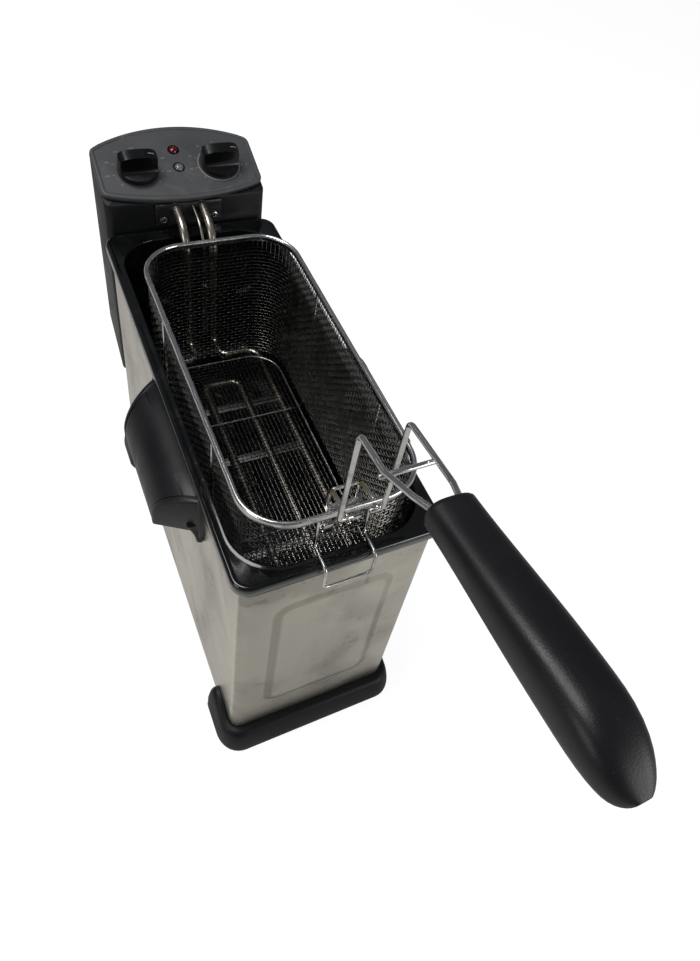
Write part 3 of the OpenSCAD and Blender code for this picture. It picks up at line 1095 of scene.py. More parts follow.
@dataclass
class Housing:
    """Steel housing with its pressed front panel, feet and rails."""

    half_x: float = 71.0
    half_y: float = 176.0
    low: float = 12.0
    high: float = 270.4
    corner: float = 9.0
    wall: float = 1.2
    pitch: float = 2.0
    panel: Point = PANEL
    panel_z: float = PANEL_Z
    panel_slope: float = 5.0
    panel_rise: float = 1.5
    buckle: float = 0.22
    foot_reach: Flat = (10.4, 13.9)
    foot_split: float = 135.2
    foot_top: float = 25.0
    foot_horn: float = 9.0
    tray_z: Point = (5.2, 9.0, 11.9)
    pad_spot: Flat = (51.0, 158.0)
    rail_x: float = 44.0
    rail_z: Flat = (124.5, 260.5)

    def panel_height(self, x: float, z: float) -> float:
        """Part of the panel's full relief at a spot on the front face, 0 to 1.

        Args:
            x: place across the front.
            z: height above the table.

        Returns:
            The part of the relief.
        """
        w, h, r = self.panel
        dx = max(abs(x) - (w / 2 - r), 0)
        dz = max(abs(z - self.panel_z) - (h / 2 - r), 0)
        inner = min(max(abs(x) - w / 2 + r, abs(z - self.panel_z) - h / 2 + r), 0)
        edge = r - math.hypot(dx, dz) - inner
        return smooth_step(edge / self.panel_slope)

    def plan(self) -> list[Four]:
        """Points of the housing's plan with their outward directions.

        Returns:
            X and y of each point, with its outward x and y.
        """
        r = self.corner
        cx, cy = self.half_x - r, self.half_y - r
        points = []
        runs = (
            ((self.half_x, -cy), (self.half_x, cy), (1, 0), 30, (cx, cy), 0),
            ((cx, self.half_y), (-cx, self.half_y), (0, 1), 16, (-cx, cy), 90),
            ((-self.half_x, cy), (-self.half_x, -cy), (-1, 0), 30, (-cx, -cy), 180),
            ((-cx, -self.half_y), (cx, -self.half_y), (0, -1), 62, (cx, -cy), 270),
        )
        for a, b, out, count, centre, turn in runs:
            for s in range(count):
                t = s / count
                points.append((mix(a[0], b[0], t), mix(a[1], b[1], t), *out))
            for s in range(8):
                angle = math.radians(turn + 90 * s / 8)
                nx, ny = math.cos(angle), math.sin(angle)
                points.append((centre[0] + r * nx, centre[1] + r * ny, nx, ny))
        return points

    def sheet_point(self, spot: Four, z: float) -> Vector:
        """Outer skin point, with the panel's relief and the sheet's slight buckle.

        Args:
            spot: a point of the plan with its outward direction.
            z: its height.

        Returns:
            The point.
        """
        x, y, nx, ny = spot
        p = Vector((x, y, z))
        wave = noise.noise(p * 0.016) * self.buckle
        ends = smooth_step((z - self.low) / 25) * smooth_step((self.high - z) / 25)
        out = wave * ends - self.buckle * 0.4
        if ny < -0.99:
            out += self.panel_rise * self.panel_height(x, z)
        return p + Vector((nx, ny, 0)) * out

    def shell(self) -> Form:
        """Open-topped steel box with a wall thickness.

        Returns:
            The box.
        """
        form = Form()
        plan = self.plan()
        levels = int((self.high - self.low) / self.pitch)
        loops = []
        for k in range(levels + 1):
            z = mix(self.low, self.high, k / levels)
            loops.append([self.sheet_point(spot, z) for spot in plan])
        for z in (self.high, self.low + self.wall):
            loops.append([Vector((x - nx * self.wall, y - ny * self.wall, z)) for x, y, nx, ny in plan])
        form.loft(loops)
        return form

    def foot(self, front: bool) -> Form:
        """Flared foot around one end, its side arms rising into a horn.

        Args:
            front: the front foot, rather than the rear one.

        Returns:
            The foot.
        """
        sign = -1 if front else 1
        r = self.corner
        cx, cy = self.half_x - r, self.half_y - r
        spots = [(self.half_x, mix(self.foot_split, cy, s / 14), 1.0, 0.0) for s in range(15)]
        spots += [(cx + r * nx, cy + r * ny, nx, ny) for nx, ny in quarter(10)[1:]]
        spots += [(mix(cx, 0, s / 12), self.half_y, 0.0, 1.0) for s in range(1, 13)]
        spots += [(-x, y, -nx, ny) for x, y, nx, ny in reversed(spots[:-1])]
        profile = (
            (-0.35, 3.2), (0.9, 3.0), (0.97, 3.25), (1.0, 4.0), (0.995, 6.0), (0.95, 9.5),
            (0.87, 13.5), (0.77, 17.5), (0.66, 21.0), (0.57, 22.9), (0.46, 24.1), (0.3, 24.8),
            (0.12, 24.95), (0.03, 24.9), (0.008, 24.3), (0.004, 12.2), (-0.35, 11.8),
        )
        loops = []
        for x, y, nx, ny in spots:
            reach = mix(self.foot_reach[0], self.foot_reach[1], ny * ny)
            along = (y - self.foot_split) / (cy - self.foot_split)
            horn = self.foot_horn * smooth_step(1.25 - along) * smooth_step(along / 0.2 + 0.2)
            tail = mix(0.8, 1.0, smooth_step(along / 0.18))
            loop = []
            for across, z in profile:
                if across > 0.006:
                    across *= tail
                lift = 1 + horn * smooth_step((z - 8) / 14) / (self.foot_top - 3)
                low = 3 + (z - 3) * lift
                loop.append(Vector((x + nx * across * reach, sign * (y + ny * across * reach), low)))
            loops.append(loop)
        form = Form()
        form.loft(loops)
        plan = rounded_rect(2 * self.half_x - 1, self.half_y - self.foot_split, 4)
        web = Form().slab(plan, 3.6, self.tray_z[2], 0.8)
        return form.join(web.place(shift(0, sign * (self.half_y + self.foot_split) / 2, 0)))

    def tray(self) -> Form:
        """Underside tray between the feet, with stiffening ribs.

        Returns:
            The tray.
        """
        x1, y1 = self.half_x - 2, self.foot_split - 0.3
        low, deck, top = self.tray_z
        form = Form().slab(rounded_rect(2 * x1, 2 * y1, 3), deck, top, 0.6)
        for x in (-58, -29, 0, 29, 58):
            form.block((x - 1.2, 3 - y1, low), (x + 1.2, y1 - 3, deck + 0.2), 0.5)
        for y in (-100, -50, 0, 50, 100):
            form.block((2 - x1, y - 1.2, low + 0.4), (x1 - 2, y + 1.2, deck + 0.2), 0.5)
        form.block((-x1, -y1, low - 0.2), (4 - x1, y1, deck + 0.4), 0.8)
        return form.block((x1 - 4, -y1, low - 0.2), (x1, y1, deck + 0.4), 0.8)

    def pads(self) -> Form:
        """Four round rubber feet with a dimple.

        Returns:
            The feet as one form.
        """
        form = Form()
        profile = [(0, 1.2), (3.5, 1.2), (4, 0.2), (4.6, 0), (9, 0), (9.8, 0.6), (10, 1.4),
                   (9.7, 3.8), (0, 3.8)]
        for i in BOTH:
            for j in BOTH:
                spot = shift(i * self.pad_spot[0], j * self.pad_spot[1], 0)
                form.join(Form().lathe(profile, 40).place(spot))
        return form

    def rails(self) -> Form:
        """Two folded steel rails that take the head's tongues.

        Returns:
            The rails as one form.
        """
        form = Form()
        section = (
            (-8, 0), (8, 0), (8, 6.8), (5.5, 6.8), (5.5, 1.6), (-5.5, 1.6), (-5.5, 6.8), (-8, 6.8),
        )
        for i in BOTH:
            rail = Form().slab(section, *self.rail_z)
            form.join(rail.place(shift(i * self.rail_x, self.half_y + 0.02, 0)))
        return form

    def build(self) -> None:
        """Makes the housing's pieces."""
        piece(self.shell(), "steel_shell", Body.HOUSING, STEEL, ["outer_housing"], 30)
        piece(self.foot(True), "flared_front_foot", Body.HOUSING, BLACK, ["front_foot"], 50)
        piece(self.foot(False), "flared_rear_foot", Body.HOUSING, BLACK, ["rear_foot"], 50)
        piece(self.tray(), "ribbed_tray", Body.HOUSING, BLACK, ["base_tray"])
        piece(self.pads(), "rubber_pads", Body.HOUSING, RUBBER, ["rubber_feet"])
        piece(self.rails(), "folded_rails", Body.HOUSING, PLAIN_STEEL, ["head_rails"], edge=0.35)


@dataclass
class SideGrip:
    """Hooded carry grip screwed to one side of the housing."""

    side: Side
    wall_x: float = 71.0
    arc_x: float = 73.0
    arc_z: float = 233.0
    centre_y: float = -41.0
    length: float = 122.0
    rake: float = 19.0
    radius: float = 29.0
    thick: float = 3.6
    skirt: float = 9.0
    seam: float = 5.5
    hollow_skirt: float = 14.0
    plate_x: float = 75.0
    plate_z: Flat = (220.2, 261.9)
    screw_dy: float = 31.0
    leg_y: float = 55.5

    def section(self, less: float, low: float) -> list[Flat]:
        """Hood section in x and z from the wall, anticlockwise.

        Args:
            less: how far it is drawn in from the outside.
            low: how far it reaches below the arc's centre.

        Returns:
            Points as (distance from the arc's axis, height).
        """
        r = self.radius - less
        return [(r, -low), *[(r * c, r * s) for c, s in quarter(16)], (-1.9, r), (-1.9, -low)]

    def hood(self, less: float, low: float, groove: bool) -> Form:
        """Solid hood, raked at both ends; a groove marks where the end caps begin.

        Args:
            less: how much smaller on all sides.
            low: height of its underside.
            groove: marks the end caps.

        Returns:
            The hood.
        """
        half = self.length / 2 - less
        stops: list[Flat] = [(0, 0)]
        if groove:
            stops = [
                (0, 1.6), (0.5, 0.5), (1.7, 0), (self.seam, 0), (self.seam + 0.35, 0.9),
                (self.seam + 1.0, 0.9), (self.seam + 1.35, 0.25),
            ]
        stations = [(-half + d, e) for d, e in stops]
        middle = [(t, stations[-1][1]) for t in (-half * 0.5, 0.0, half * 0.5)]
        stations += middle + [(-t, e) for t, e in reversed(stations)]
        form = Form()
        loops = []
        for t, e in stations:
            loop = []
            for u, z in self.section(less + e, low - e):
                squeeze = (half - self.rake * max(u, 0) / self.radius) / half
                loop.append(Vector((-(self.arc_x + u), self.centre_y + t * squeeze, self.arc_z + z)))
            loops.append(loop)
        form.loft(loops)
        return form

    def plate(self) -> Form:
        """Back plate and the two legs under the hood's caps.

        Returns:
            The plate and its legs.
        """
        form = Form()
        y0, y1 = self.centre_y - self.length / 2, self.centre_y + self.length / 2
        z0, z1 = self.plate_z
        form.block((-self.plate_x, y0, z0), (-self.wall_x - 0.02, y1, z1), 0.7)
        legs = ((209.2, 3.2), (210.2, 4.6), (214, 5.2), (221, 6.6), (226, 8.4), (233, 11))
        for j in BOTH:
            y = self.centre_y + j * self.leg_y
            loops = []
            for z, out in legs:
                plan = rounded_rect(out, 5.4, 1.2, 3)
                loops.append([Vector((-self.wall_x - out / 2 + px, y + py, z)) for px, py in plan])
            form.loft(loops)
        return form

    def screws(self) -> Form:
        """Two cross-head screws, seen under the hood.

        Returns:
            The screws as one form.
        """
        form = Form()
        turn = Matrix.Rotation(-math.pi / 2, 4, "Y")
        for j in BOTH:
            spot = shift(-self.plate_x, self.centre_y + j * self.screw_dy, self.arc_z + 2)
            form.join(screw_head(4.2, 2.3).place(spot @ turn))
        return form

    def build(self) -> None:
        """Makes the grip and its screws."""
        name = self.side.name.lower()
        forms = [self.hood(0, self.skirt, True), self.hood(self.thick, self.hollow_skirt, False),
                 self.plate(), self.screws()]
        if self.side is Side.RIGHT:
            forms = [form.mirrored() for form in forms]
        hood, hollow, plate, screws = forms
        piece(
            hood, f"{name}_grip_hood", Body.HOUSING, GRIP, [f"{name}_grip"], 40, [hollow],
            rounding=(0.35, 2, 60),
        )
        piece(plate, f"{name}_grip_plate", Body.HOUSING, GRIP)
        piece(screws, f"{name}_grip_screws", Body.HOUSING, SCREW, ["grip_screws"])


def screw_head(radius: float, height: float) -> Form:
    """Pan-head screw with a cross recess, standing up along z from 0.

    Args:
        radius: radius of the head.
        height: height of the head.

    Returns:
        The screw's form.
    """
    form = Form()
    slot, arm, deep = radius * 0.16, radius * 0.62, height * 0.45
    rings, count = 7, 48
    turns = [(math.cos(TAU * s / count), math.sin(TAU * s / count)) for s in range(count)]
    ids = []
    for k in range(rings + 1):
        r = radius * k / rings
        ring = []
        for c, s in turns:
            x, y = r * c, r * s
            z = height * math.sqrt(max(1 - 0.75 * (r / radius) ** 2, 0.0))
            across = min(abs(x), abs(y))
            along = max(abs(x), abs(y))
            if across <= slot * 1.25 and along <= arm:
                z -= deep * smooth_step((arm - along) / (radius * 0.2))
            ring.append(Vector((x, y, z)))
        ids.append(form.loop(ring))
    for a, b in zip(ids, ids[1:]):
        form.skin(a, b)
    base = form.loop(Vector((radius * c, radius * s, -0.4)) for c, s in turns)
    form.skin(ids[-1], base)
    form.faces.append(base[::-1])
    return form


# ---------------------------------------------------------------- oil pot


@dataclass
class OilPot:
    """Lift-out pot with its black rim flange."""

    rim: Point = (150.0, 361.0, 13.0)
    mouth: Point = (133.0, 337.0, 33.0)
    mouth_y: float = -2.5
    high: float = 274.5
    low: float = 265.5
    fold: float = 2.6
    land: float = 0.55
    bead: float = 3.4
    wall: float = 1.5
    skirt_wall: float = 1.4
    floor: float = 132.0
    floor_round: float = 12.0
    mark_x: float = 66.5
    marks: tuple[float, ...] = (182.5, 204.5)

    def rim_line(self, less: float) -> list[Flat]:
        """Outer outline of the flange, drawn in."""
        w, l, r = self.rim
        return rounded_rect(w - 2 * less, l - 2 * less, max(r - less, 1.0), 10)

    def mouth_line(self, more: float) -> list[Flat]:
        """Outline of the opening, let out."""
        w, l, r = self.mouth
        return rounded_rect(w + 2 * more, l + 2 * more, r + more, 10, self.mouth_y)

    def shell(self) -> Form:
        """Flange, bead, well and floor as one skin with a thickness.

        Returns:
            The pot.
        """
        loops = [
            at_height(self.rim_line(self.skirt_wall), self.low + 0.1),
            at_height(self.rim_line(0.35), self.low),
            at_height(self.rim_line(0.0), self.low + 0.6),
        ]
        top, fold, r = self.high, self.fold, self.floor_round
        loops += [at_height(self.rim_line(fold * (1 - c)), top - fold * (1 - s)) for c, s in quarter(6)]
        loops.append(at_height(self.rim_line(fold + 0.9), top - self.land * 0.7))
        loops.append(at_height(self.rim_line(fold + 1.9), top - self.land))
        outs = ((self.bead, self.land), (self.bead * 0.75, self.land * 0.75),
                (self.bead * 0.5, 0.12), (self.bead * 0.3, 0.0), (self.bead * 0.12, 0.15),
                (0.0, 0.9), (0.0, 2.0), (0.0, 6.0))
        loops += [at_height(self.mouth_line(out), top - down) for out, down in outs]
        loops += [at_height(self.mouth_line(0), z) for z in (230.0, 190.0, 160.0)]
        loops += [
            at_height(self.mouth_line(-r * (1 - c)), self.floor + r * (1 - s))
            for c, s in quarter(5)
        ]
        form = Form()
        ids = form.loft(loops, caps=(False, True))
        under = [
            at_height(self.rim_line(self.skirt_wall + 0.1), top - self.land - 1.6),
            at_height(self.mouth_line(self.wall + 0.2), top - self.land - 1.6),
            at_height(self.mouth_line(self.wall), top - 6),
        ]
        out, low = r + self.wall, self.floor - self.wall
        under += [
            at_height(self.mouth_line(self.wall - out * (1 - c)), low + out * (1 - s))
            for c, s in quarter(5)
        ]
        low_ids = form.loft(under, caps=(False, True))
        form.skin(ids[0], low_ids[0])
        return form

    def level_marks(self) -> Form:
        """Two oil level lines pressed into the well's side.

        Returns:
            The lines as one form.
        """
        form = Form()
        for z in self.marks:
            form.block((self.mark_x - 0.5, 30, z), (self.mark_x + 0.1, 48, z + 1.2), 0.2)
        return form

    def build(self) -> None:
        """Makes the pot and its level marks."""
        piece(self.shell(), "pot_and_flange", Body.POT, ENAMEL, ["oil_container"], 40)
        piece(self.level_marks(), "level_marks", Body.POT, MARK_GREY, ["oil_marks"])


# ---------------------------------------------------------------- control head


@dataclass
class ControlHead:
    """Control box behind the rim, with its sloped fascia, lamps and marks."""

    half_x: float = 70.0
    front: float = 183.5
    depth: float = 57.0
    corner: float = 7.0
    wall: float = 2.6
    lip: float = 11.5
    low: float = 103.5
    tilt: float = 17.74
    fascia_y: float = 215.0
    fascia_z: float = 314.6
    plate: float = 5.0
    plate_half_y: float = 28.0
    bow_front: float = 9.0
    bow_rear: float = 14.0
    bow_x: float = 62.0
    plate_corner: float = 8.0
    edge_step: float = 24.0
    knob_x: float = 35.5
    knob_y: float = -3.5
    knob_r: float = 17.0
    tick_turn: float = 32.5
    lamp_y: Flat = (15.5, -3.5)
    lamp_r: float = 4.0
    tongue_x: float = 44.0
    tongue_z: Flat = (114.6, 254.4)
    inlet_z: float = 174.5
    pin_x: float = 8.0
    cover_x: float = 58.0
    cover_z: Flat = (159.5, 289.5)
    screw_x: float = 50.0
    screw_z: Flat = (167.5, 281.5)
    vent_z: float = 227.5
    vent_pitch: float = 10.0
    digits: tuple[str, ...] = ("0", "5", "10", "15", "20", "25", "30")
    degrees: tuple[str, ...] = ("130", "140", "150", "160", "170", "180", "190")
    digit_size: float = 2.9
    digit_reach: float = 7.0

    @property
    def back(self) -> float:
        """Y of the rear face."""
        return self.front + self.depth

    def on_fascia(self) -> Matrix:
        """Frame of the sloped fascia: x across, y up the slope, z out of it."""
        turn = Matrix.Rotation(math.radians(self.tilt), 4, "X")
        return shift(0, self.fascia_y, self.fascia_z) @ turn

    def at_knob(self, side: int) -> Matrix:
        """Frame of a knob, -1 for the left one and 1 for the right one."""
        return self.on_fascia() @ shift(side * self.knob_x, self.knob_y, 0)

    def top_at(self, y: float, down: float) -> float:
        """Height of the sloped top at a depth, less a drop square to it."""
        t = math.radians(self.tilt)
        return self.fascia_z + (y - self.fascia_y) * math.tan(t) - down / math.cos(t)

    def bottom_at(self, y: float) -> float:
        """Height of the underside, which rises towards the rear.

        Args:
            y: place from front to rear.

        Returns:
            The height.
        """
        stops = (
            (self.front, self.low), (self.front + 6, self.low - 0.5),
            (self.back - 5, self.low + 32), (self.back, self.low + 46),
        )
        for (ya, za), (yb, zb) in zip(stops, stops[1:]):
            if y <= yb:
                return mix(za, zb, (y - ya) / (yb - ya))
        return stops[-1][1]

    def shell(self) -> Form:
        """Moulded box, open under the fascia.

        Returns:
            The shell.
        """

        def plan(less: float, corner: float) -> list[Flat]:
            """Plan of the box, drawn in.

            Args:
                less: how far in.
                corner: corner radius.

            Returns:
                The outline.
            """
            middle = self.front + self.depth / 2
            return rounded_rect(2 * (self.half_x - less), self.depth - 2 * less, corner, 8, middle)

        def low_loop(line: list[Flat], up: float) -> list[Vector]:
            """Plan laid just above the underside."""
            return [Vector((x, y, self.bottom_at(y) + up)) for x, y in line]

        def top_loop(line: list[Flat], down: float) -> list[Vector]:
            """Plan laid below the fascia's top."""
            return [Vector((x, y, self.top_at(y, down))) for x, y in line]

        w = self.wall
        outer, inner, lip = plan(0, self.corner), plan(w, self.corner - w), plan(self.lip, 2)
        gap = self.plate + 0.02
        form = Form()
        lows = [low_loop(inset(outer, d), u) for d, u in ((1.8, 0.0), (0.9, 0.25), (0.25, 0.9))]
        ids = form.loft(
            [
                *lows,
                low_loop(outer, 1.9),
                top_loop(outer, gap + 1.6),
                top_loop(inset(outer, 0.5), gap + 0.6),
                top_loop(inset(outer, 0.7), gap),
                top_loop(lip, gap),
                top_loop(lip, gap + 2.0),
                top_loop(inner, gap + 2.0),
                low_loop(inner, w + 1.5),
            ],
            caps=(False, False),
        )
        for ring in (ids[0], ids[-1]):
            self.bridge(form, ring)
        return form

    def bridge(self, form: Form, ring: list[int]) -> None:
        """Closes a ring that mirrors about x = 0 with strips across it.

        Args:
            form: form that holds the ring.
            ring: point numbers of the ring.
        """
        half = len(ring) // 2
        order = sorted(ring, key=lambda i: (round(form.points[i].y, 4), form.points[i].x))
        pairs = [(order[2 * k], order[2 * k + 1]) for k in range(half)]
        for (a, b), (c, d) in zip(pairs, pairs[1:]):
            form.faces.append([a, b, d, c])

    def tongues(self) -> Form:
        """Two tongues that drop into the housing's rails.

        Returns:
            The tongues as one form.
        """
        form = Form()
        y, (z0, z1) = self.front, self.tongue_z
        for i in BOTH:
            x = i * self.tongue_x
            form.block((x - 4.6, y - 2.6, z0), (x + 4.6, y + 0.8, z1), 0.7)
        return form

    def fascia_line(self, less: float = 0.0) -> list[Flat]:
        """Outline of the fascia with its two bowed edges and round corners.

        Args:
            less: how far in from the edge.

        Returns:
            The outline on the fascia.
        """
        line: list[Flat] = []
        for side, bow in ((1, self.bow_rear), (-1, self.bow_front)):
            radius = (self.bow_x**2 + bow * bow) / (2 * bow)

            def edge(x: float) -> float:
                """Y of the bowed edge."""
                return side * (self.plate_half_y + bow - radius + math.sqrt(radius**2 - x * x))

            x, inner = side * self.half_x, side * (self.half_x - self.edge_step)
            corner = rounded_path(
                [(x, 0, 0), (x, edge(x), 0), (inner, edge(inner), 0)], self.plate_corner, 9
            )[1:-1]
            start = corner[-1].x
            bowed = [mix(start, -start, s / 34) for s in range(1, 34)]
            line += [(p.x, p.y) for p in corner]
            line += [(x, edge(x)) for x in bowed]
            line += [(-p.x, p.y) for p in reversed(corner)]
        return inset(line, less) if less else line

    def fascia(self) -> Form:
        """Sloped plate with a raised border and a sunk field.

        Returns:
            The plate, before its holes.
        """
        steps = (
            (1.0, -self.plate), (0.35, -self.plate + 0.25), (0.0, -self.plate + 0.9), (0.0, -2.0),
            (0.15, -1.15), (0.6, -0.45), (1.2, -0.12), (1.9, 0.0), (3.3, 0.0), (3.55, -0.12),
            (3.75, -0.5), (4.25, -0.5), (4.6, -0.2), (5.4, -0.16),
        )
        form = Form()
        form.loft([at_height(self.fascia_line(less), z) for less, z in steps])
        return form.place(self.on_fascia())

    def fascia_cuts(self) -> list[Form]:
        """Holes and countersinks for the lamps and the knob shafts.

        Returns:
            The forms to cut away.
        """
        lamp = [(0, -8), (4.05, -8), (4.05, -1.1), (5.3, -0.1), (5.9, 0.6), (5.9, 4), (0, 4)]
        shaft = [(0, -8), (3.6, -8), (3.6, -1.2), (15.2, -1.2), (15.2, 4), (0, 4)]
        here = self.on_fascia()
        holes = [Form().lathe(lamp, 48).place(here @ shift(0, y, 0)) for y in self.lamp_y]
        return holes + [Form().lathe(shaft, 64).place(self.at_knob(i)) for i in BOTH]

    def lens(self, y: float) -> Form:
        """Domed lamp lens with a stem through the fascia.

        Args:
            y: place along the slope of the fascia.

        Returns:
            The lens.
        """
        r, low = self.lamp_r, -self.plate - 1
        profile = [(0, low), (r - 0.1, low), (r - 0.05, -0.6), (r - 0.25, 0.1), (r - 0.6, 0.75),
                   (r - 1.2, 1.3), (r - 2.0, 1.68), (r - 3.0, 1.9), (0, 1.97)]
        return Form().lathe(profile, 40).place(self.on_fascia() @ shift(0, y, 0))

    def bezels(self) -> Form:
        """Thin dark rings around the lamps.

        Returns:
            The rings as one form.
        """
        form = Form()
        profile = [(4.12, -2.5), (4.12, 0.1), (4.3, 0.35), (4.75, 0.4), (5.05, 0.15), (5.1, -0.6),
                   (5.1, -2.5), (4.12, -2.5)]
        for y in self.lamp_y:
            form.join(Form().lathe(profile, 48).place(shift(0, y, 0)))
        return form.place(self.on_fascia())

    def ring(self) -> Form:
        """Pale printed ring around the timer knob.

        Returns:
            The ring.
        """
        a, b = self.knob_r + 0.75, self.knob_r + 1.65
        profile = [(a, -0.3), (a, -0.1), (a + 0.15, 0.0), (b - 0.15, 0.0), (b, -0.1), (b, -0.3),
                   (a, -0.3)]
        return Form().lathe(profile, 96).place(self.at_knob(1) @ shift(0, 0, 0.05))

    def ticks(self) -> Form:
        """Scale lines round both knobs.

        Returns:
            The lines as one form.
        """
        form = Form()
        r = self.knob_r
        for i in BOTH:
            for k in range(9):
                a = math.radians(self.tick_turn * k - 40)
                if i > 0 and abs(self.knob_x + (r + 4) * math.cos(a)) < 8:
                    continue
                tick = Form().block((r + 2.6, -0.3, -0.4), (r + 4.6, 0.3, -0.08), 0.08)
                form.join(tick.place(self.at_knob(i) @ Matrix.Rotation(a, 4, "Z")))
        return form

    def numeral(self, label: str, spot: Matrix) -> bpy.types.Mesh:
        """Mesh of one short label, in metres.

        Args:
            label: the text.
            spot: its place, in millimetres, and direction.

        Returns:
            The mesh.
        """
        curve = bpy.data.curves.new("numeral", "FONT")
        curve.body = label
        curve.size = self.digit_size * MM
        curve.extrude = 0.05 * MM
        curve.align_x = curve.align_y = "CENTER"
        curve.resolution_u = 3
        made = bpy.data.objects.new("numeral", curve)
        bpy.context.scene.collection.objects.link(made)
        graph = bpy.context.evaluated_depsgraph_get()
        mesh = bpy.data.meshes.new_from_object(made.evaluated_get(graph))
        bpy.data.objects.remove(made)
        spot.translation *= MM
        mesh.transform(spot)
        return mesh

    def numerals(self) -> None:
        """Plain numbers beside the scale lines, as one raised print."""
        work = bmesh.new()
        for i, labels in ((-1, self.degrees), (1, self.digits)):
            for k, label in enumerate(labels):
                a = math.radians(self.tick_turn * k - 7.5)
                reach = self.knob_r + self.digit_reach + 0.7 * abs(math.cos(a)) * len(label)
                spot = self.at_knob(i) @ shift(reach * math.cos(a), reach * math.sin(a), -0.1)
                work.from_mesh(self.numeral(label, spot))
        bmesh.ops.remove_doubles(work, verts=work.verts, dist=1e-7)
        mesh = bpy.data.meshes.new("scale_numerals")
        work.to_mesh(mesh)
        work.free()
        made = bpy.data.objects.new("scale_numerals", mesh)
        bpy.context.scene.collection.objects.link(made)
        mesh.materials.append(MARK_WHITE.material())
        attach(made, Body.HEAD.value)
        LOG.info("scale_numerals: %d faces", len(mesh.polygons))

    def holders(self) -> Form:
        """Lamp holders under the fascia.

        Returns:
            The holders as one form.
        """
        form = Form()
        profile = [(0, -12), (3.7, -12), (4.1, -11.6), (4.1, -6.8), (3.8, -6.3), (0, -6.3)]
        for y in self.lamp_y:
            form.join(Form().lathe(profile, 32).place(shift(0, y, 0)))
        return form.place(self.on_fascia())

    def switch_bodies(self) -> tuple[Form, Form]:
        """Thermostat and timer bodies under the knobs.

        Returns:
            The thermostat body and the timer body.
        """
        can = [(3.1, -25), (11, -25), (12, -24.2), (12, -12), (11.2, -11), (11.2, -6),
               (10.4, -5.2), (3.1, -5.2), (3.1, -25)]
        timer = Form().block((-13, -11, -25), (13, 11, -5.2), 1.0)
        return Form().lathe(can, 48).place(self.at_knob(-1)), timer.place(self.at_knob(1))

    def on_back(self, z: float, turn: Matrix = FORWARD) -> Matrix:
        """Frame on the rear face at a height."""
        return shift(0, self.back, z) @ turn

    def cover(self, less: float, corner: float, low: float, high: float, edge: float) -> Form:
        """Rear cover plate, or the opening behind it.

        Args:
            less: gap all round.
            corner: corner radius.
            low: depth it starts at, out of the rear face inwards.
            high: depth it ends at.
            edge: rounding of its edges.

        Returns:
            The plate's form.
        """
        z0, z1 = self.cover_z
        plan = rounded_rect(2 * self.cover_x - less, z1 - z0 - less, corner, 6)
        return Form().slab(plan, low, high, edge).place(self.on_back((z0 + z1) / 2))

    def cover_cuts(self) -> list[Form]:
        """Vent slots and the inlet's opening.

        Returns:
            The forms to cut away.
        """
        slots = [
            Form().slab(rounded_rect(52, 4, 1.9, 5), -8, 8).place(self.on_back(z))
            for z in (self.vent_z + self.vent_pitch * k for k in range(5))
        ]
        hole = Form().slab(rounded_rect(35.9, 23.9, 2.0, 5), -8, 8)
        return [*slots, hole.place(self.on_back(self.inlet_z))]

    def inlet(self) -> tuple[Form, list[Form], Form]:
        """Recessed three-pin inlet: its body, the recess cut and the pins.

        Returns:
            The body, the forms to cut from it and the pins.
        """
        base = self.on_back(self.inlet_z, BACKWARD)
        body = Form().slab(rounded_rect(42, 30, 3.5, 6), 0.05, 1.6, 0.5)
        body.slab(rounded_rect(35.6, 23.6, 2.0, 6), -18, 0.6, 0.4)
        recess = Form().slab(rounded_rect(30, 18, 3.2, 6), -13, 8)
        profile = [(0, -20), (1.6, -20), (1.6, -4.6), (1.3, -4.1), (0.7, -4.0), (0, -4.0)]
        pins = Form()
        for i in (-1, 0, 1):
            pins.join(Form().lathe(profile, 24).place(shift(i * self.pin_x, 0, 0)))
        return body.place(base), [recess.place(base)], pins.place(base)

    def cover_screws(self) -> Form:
        """Four screws in the rear cover's corners.

        Returns:
            The screws as one form.
        """
        form = Form()
        for i in BOTH:
            for z in self.screw_z:
                spot = shift(i * self.screw_x, self.back - 0.02, z)
                form.join(screw_head(3.4, 1.6).place(spot @ BACKWARD))
        return form

    def build(self) -> None:
        """Makes the head's pieces."""
        head = Body.HEAD
        opening = self.cover(0, 4.8, -6, 6, 0)
        piece(
            self.shell(), "head_box", head, BLACK, ["head_shell"], 38, [opening],
            rounding=(0.3, 2, 60),
        )
        piece(self.tongues(), "head_tongues", head, BLACK)
        piece(self.fascia(), "sloped_fascia", head, FASCIA, ["control_fascia"], 32, self.fascia_cuts())
        piece(self.lens(self.lamp_y[0]), "red_lamp", head, RED_LENS, ["power_lens"])
        piece(self.lens(self.lamp_y[1]), "clear_lamp", head, CLEAR_LENS, ["ready_lens"])
        piece(self.bezels(), "lamp_bezels", head, KNOB)
        piece(self.ring(), "timer_scale_ring", head, MARK_WHITE, ["timer_ring"])
        piece(self.ticks(), "scale_lines", head, MARK_WHITE, ["dial_marks"])
        self.numerals()
        piece(self.holders(), "lamp_sockets", head, HOLDER, ["lamp_holders"])
        thermostat, timer = self.switch_bodies()
        piece(thermostat, "thermostat_can", head, HOLDER, ["thermostat_body"])
        piece(timer, "timer_case", head, HOLDER, ["timer_body"])
        cover = self.cover(0.7, 4.5, 0, self.wall, 0.5)
        piece(cover, "vented_cover", head, BLACK, ["rear_cover"], 40, self.cover_cuts())
        body, recess, pins = self.inlet()
        piece(body, "mains_inlet", head, BLACK, ["power_inlet"], 40, recess, 0.25)
        piece(pins, "inlet_contacts", head, BRASS, ["inlet_pins"])
        piece(self.cover_screws(), "cover_fixings", head, SCREW, ["cover_screws"])


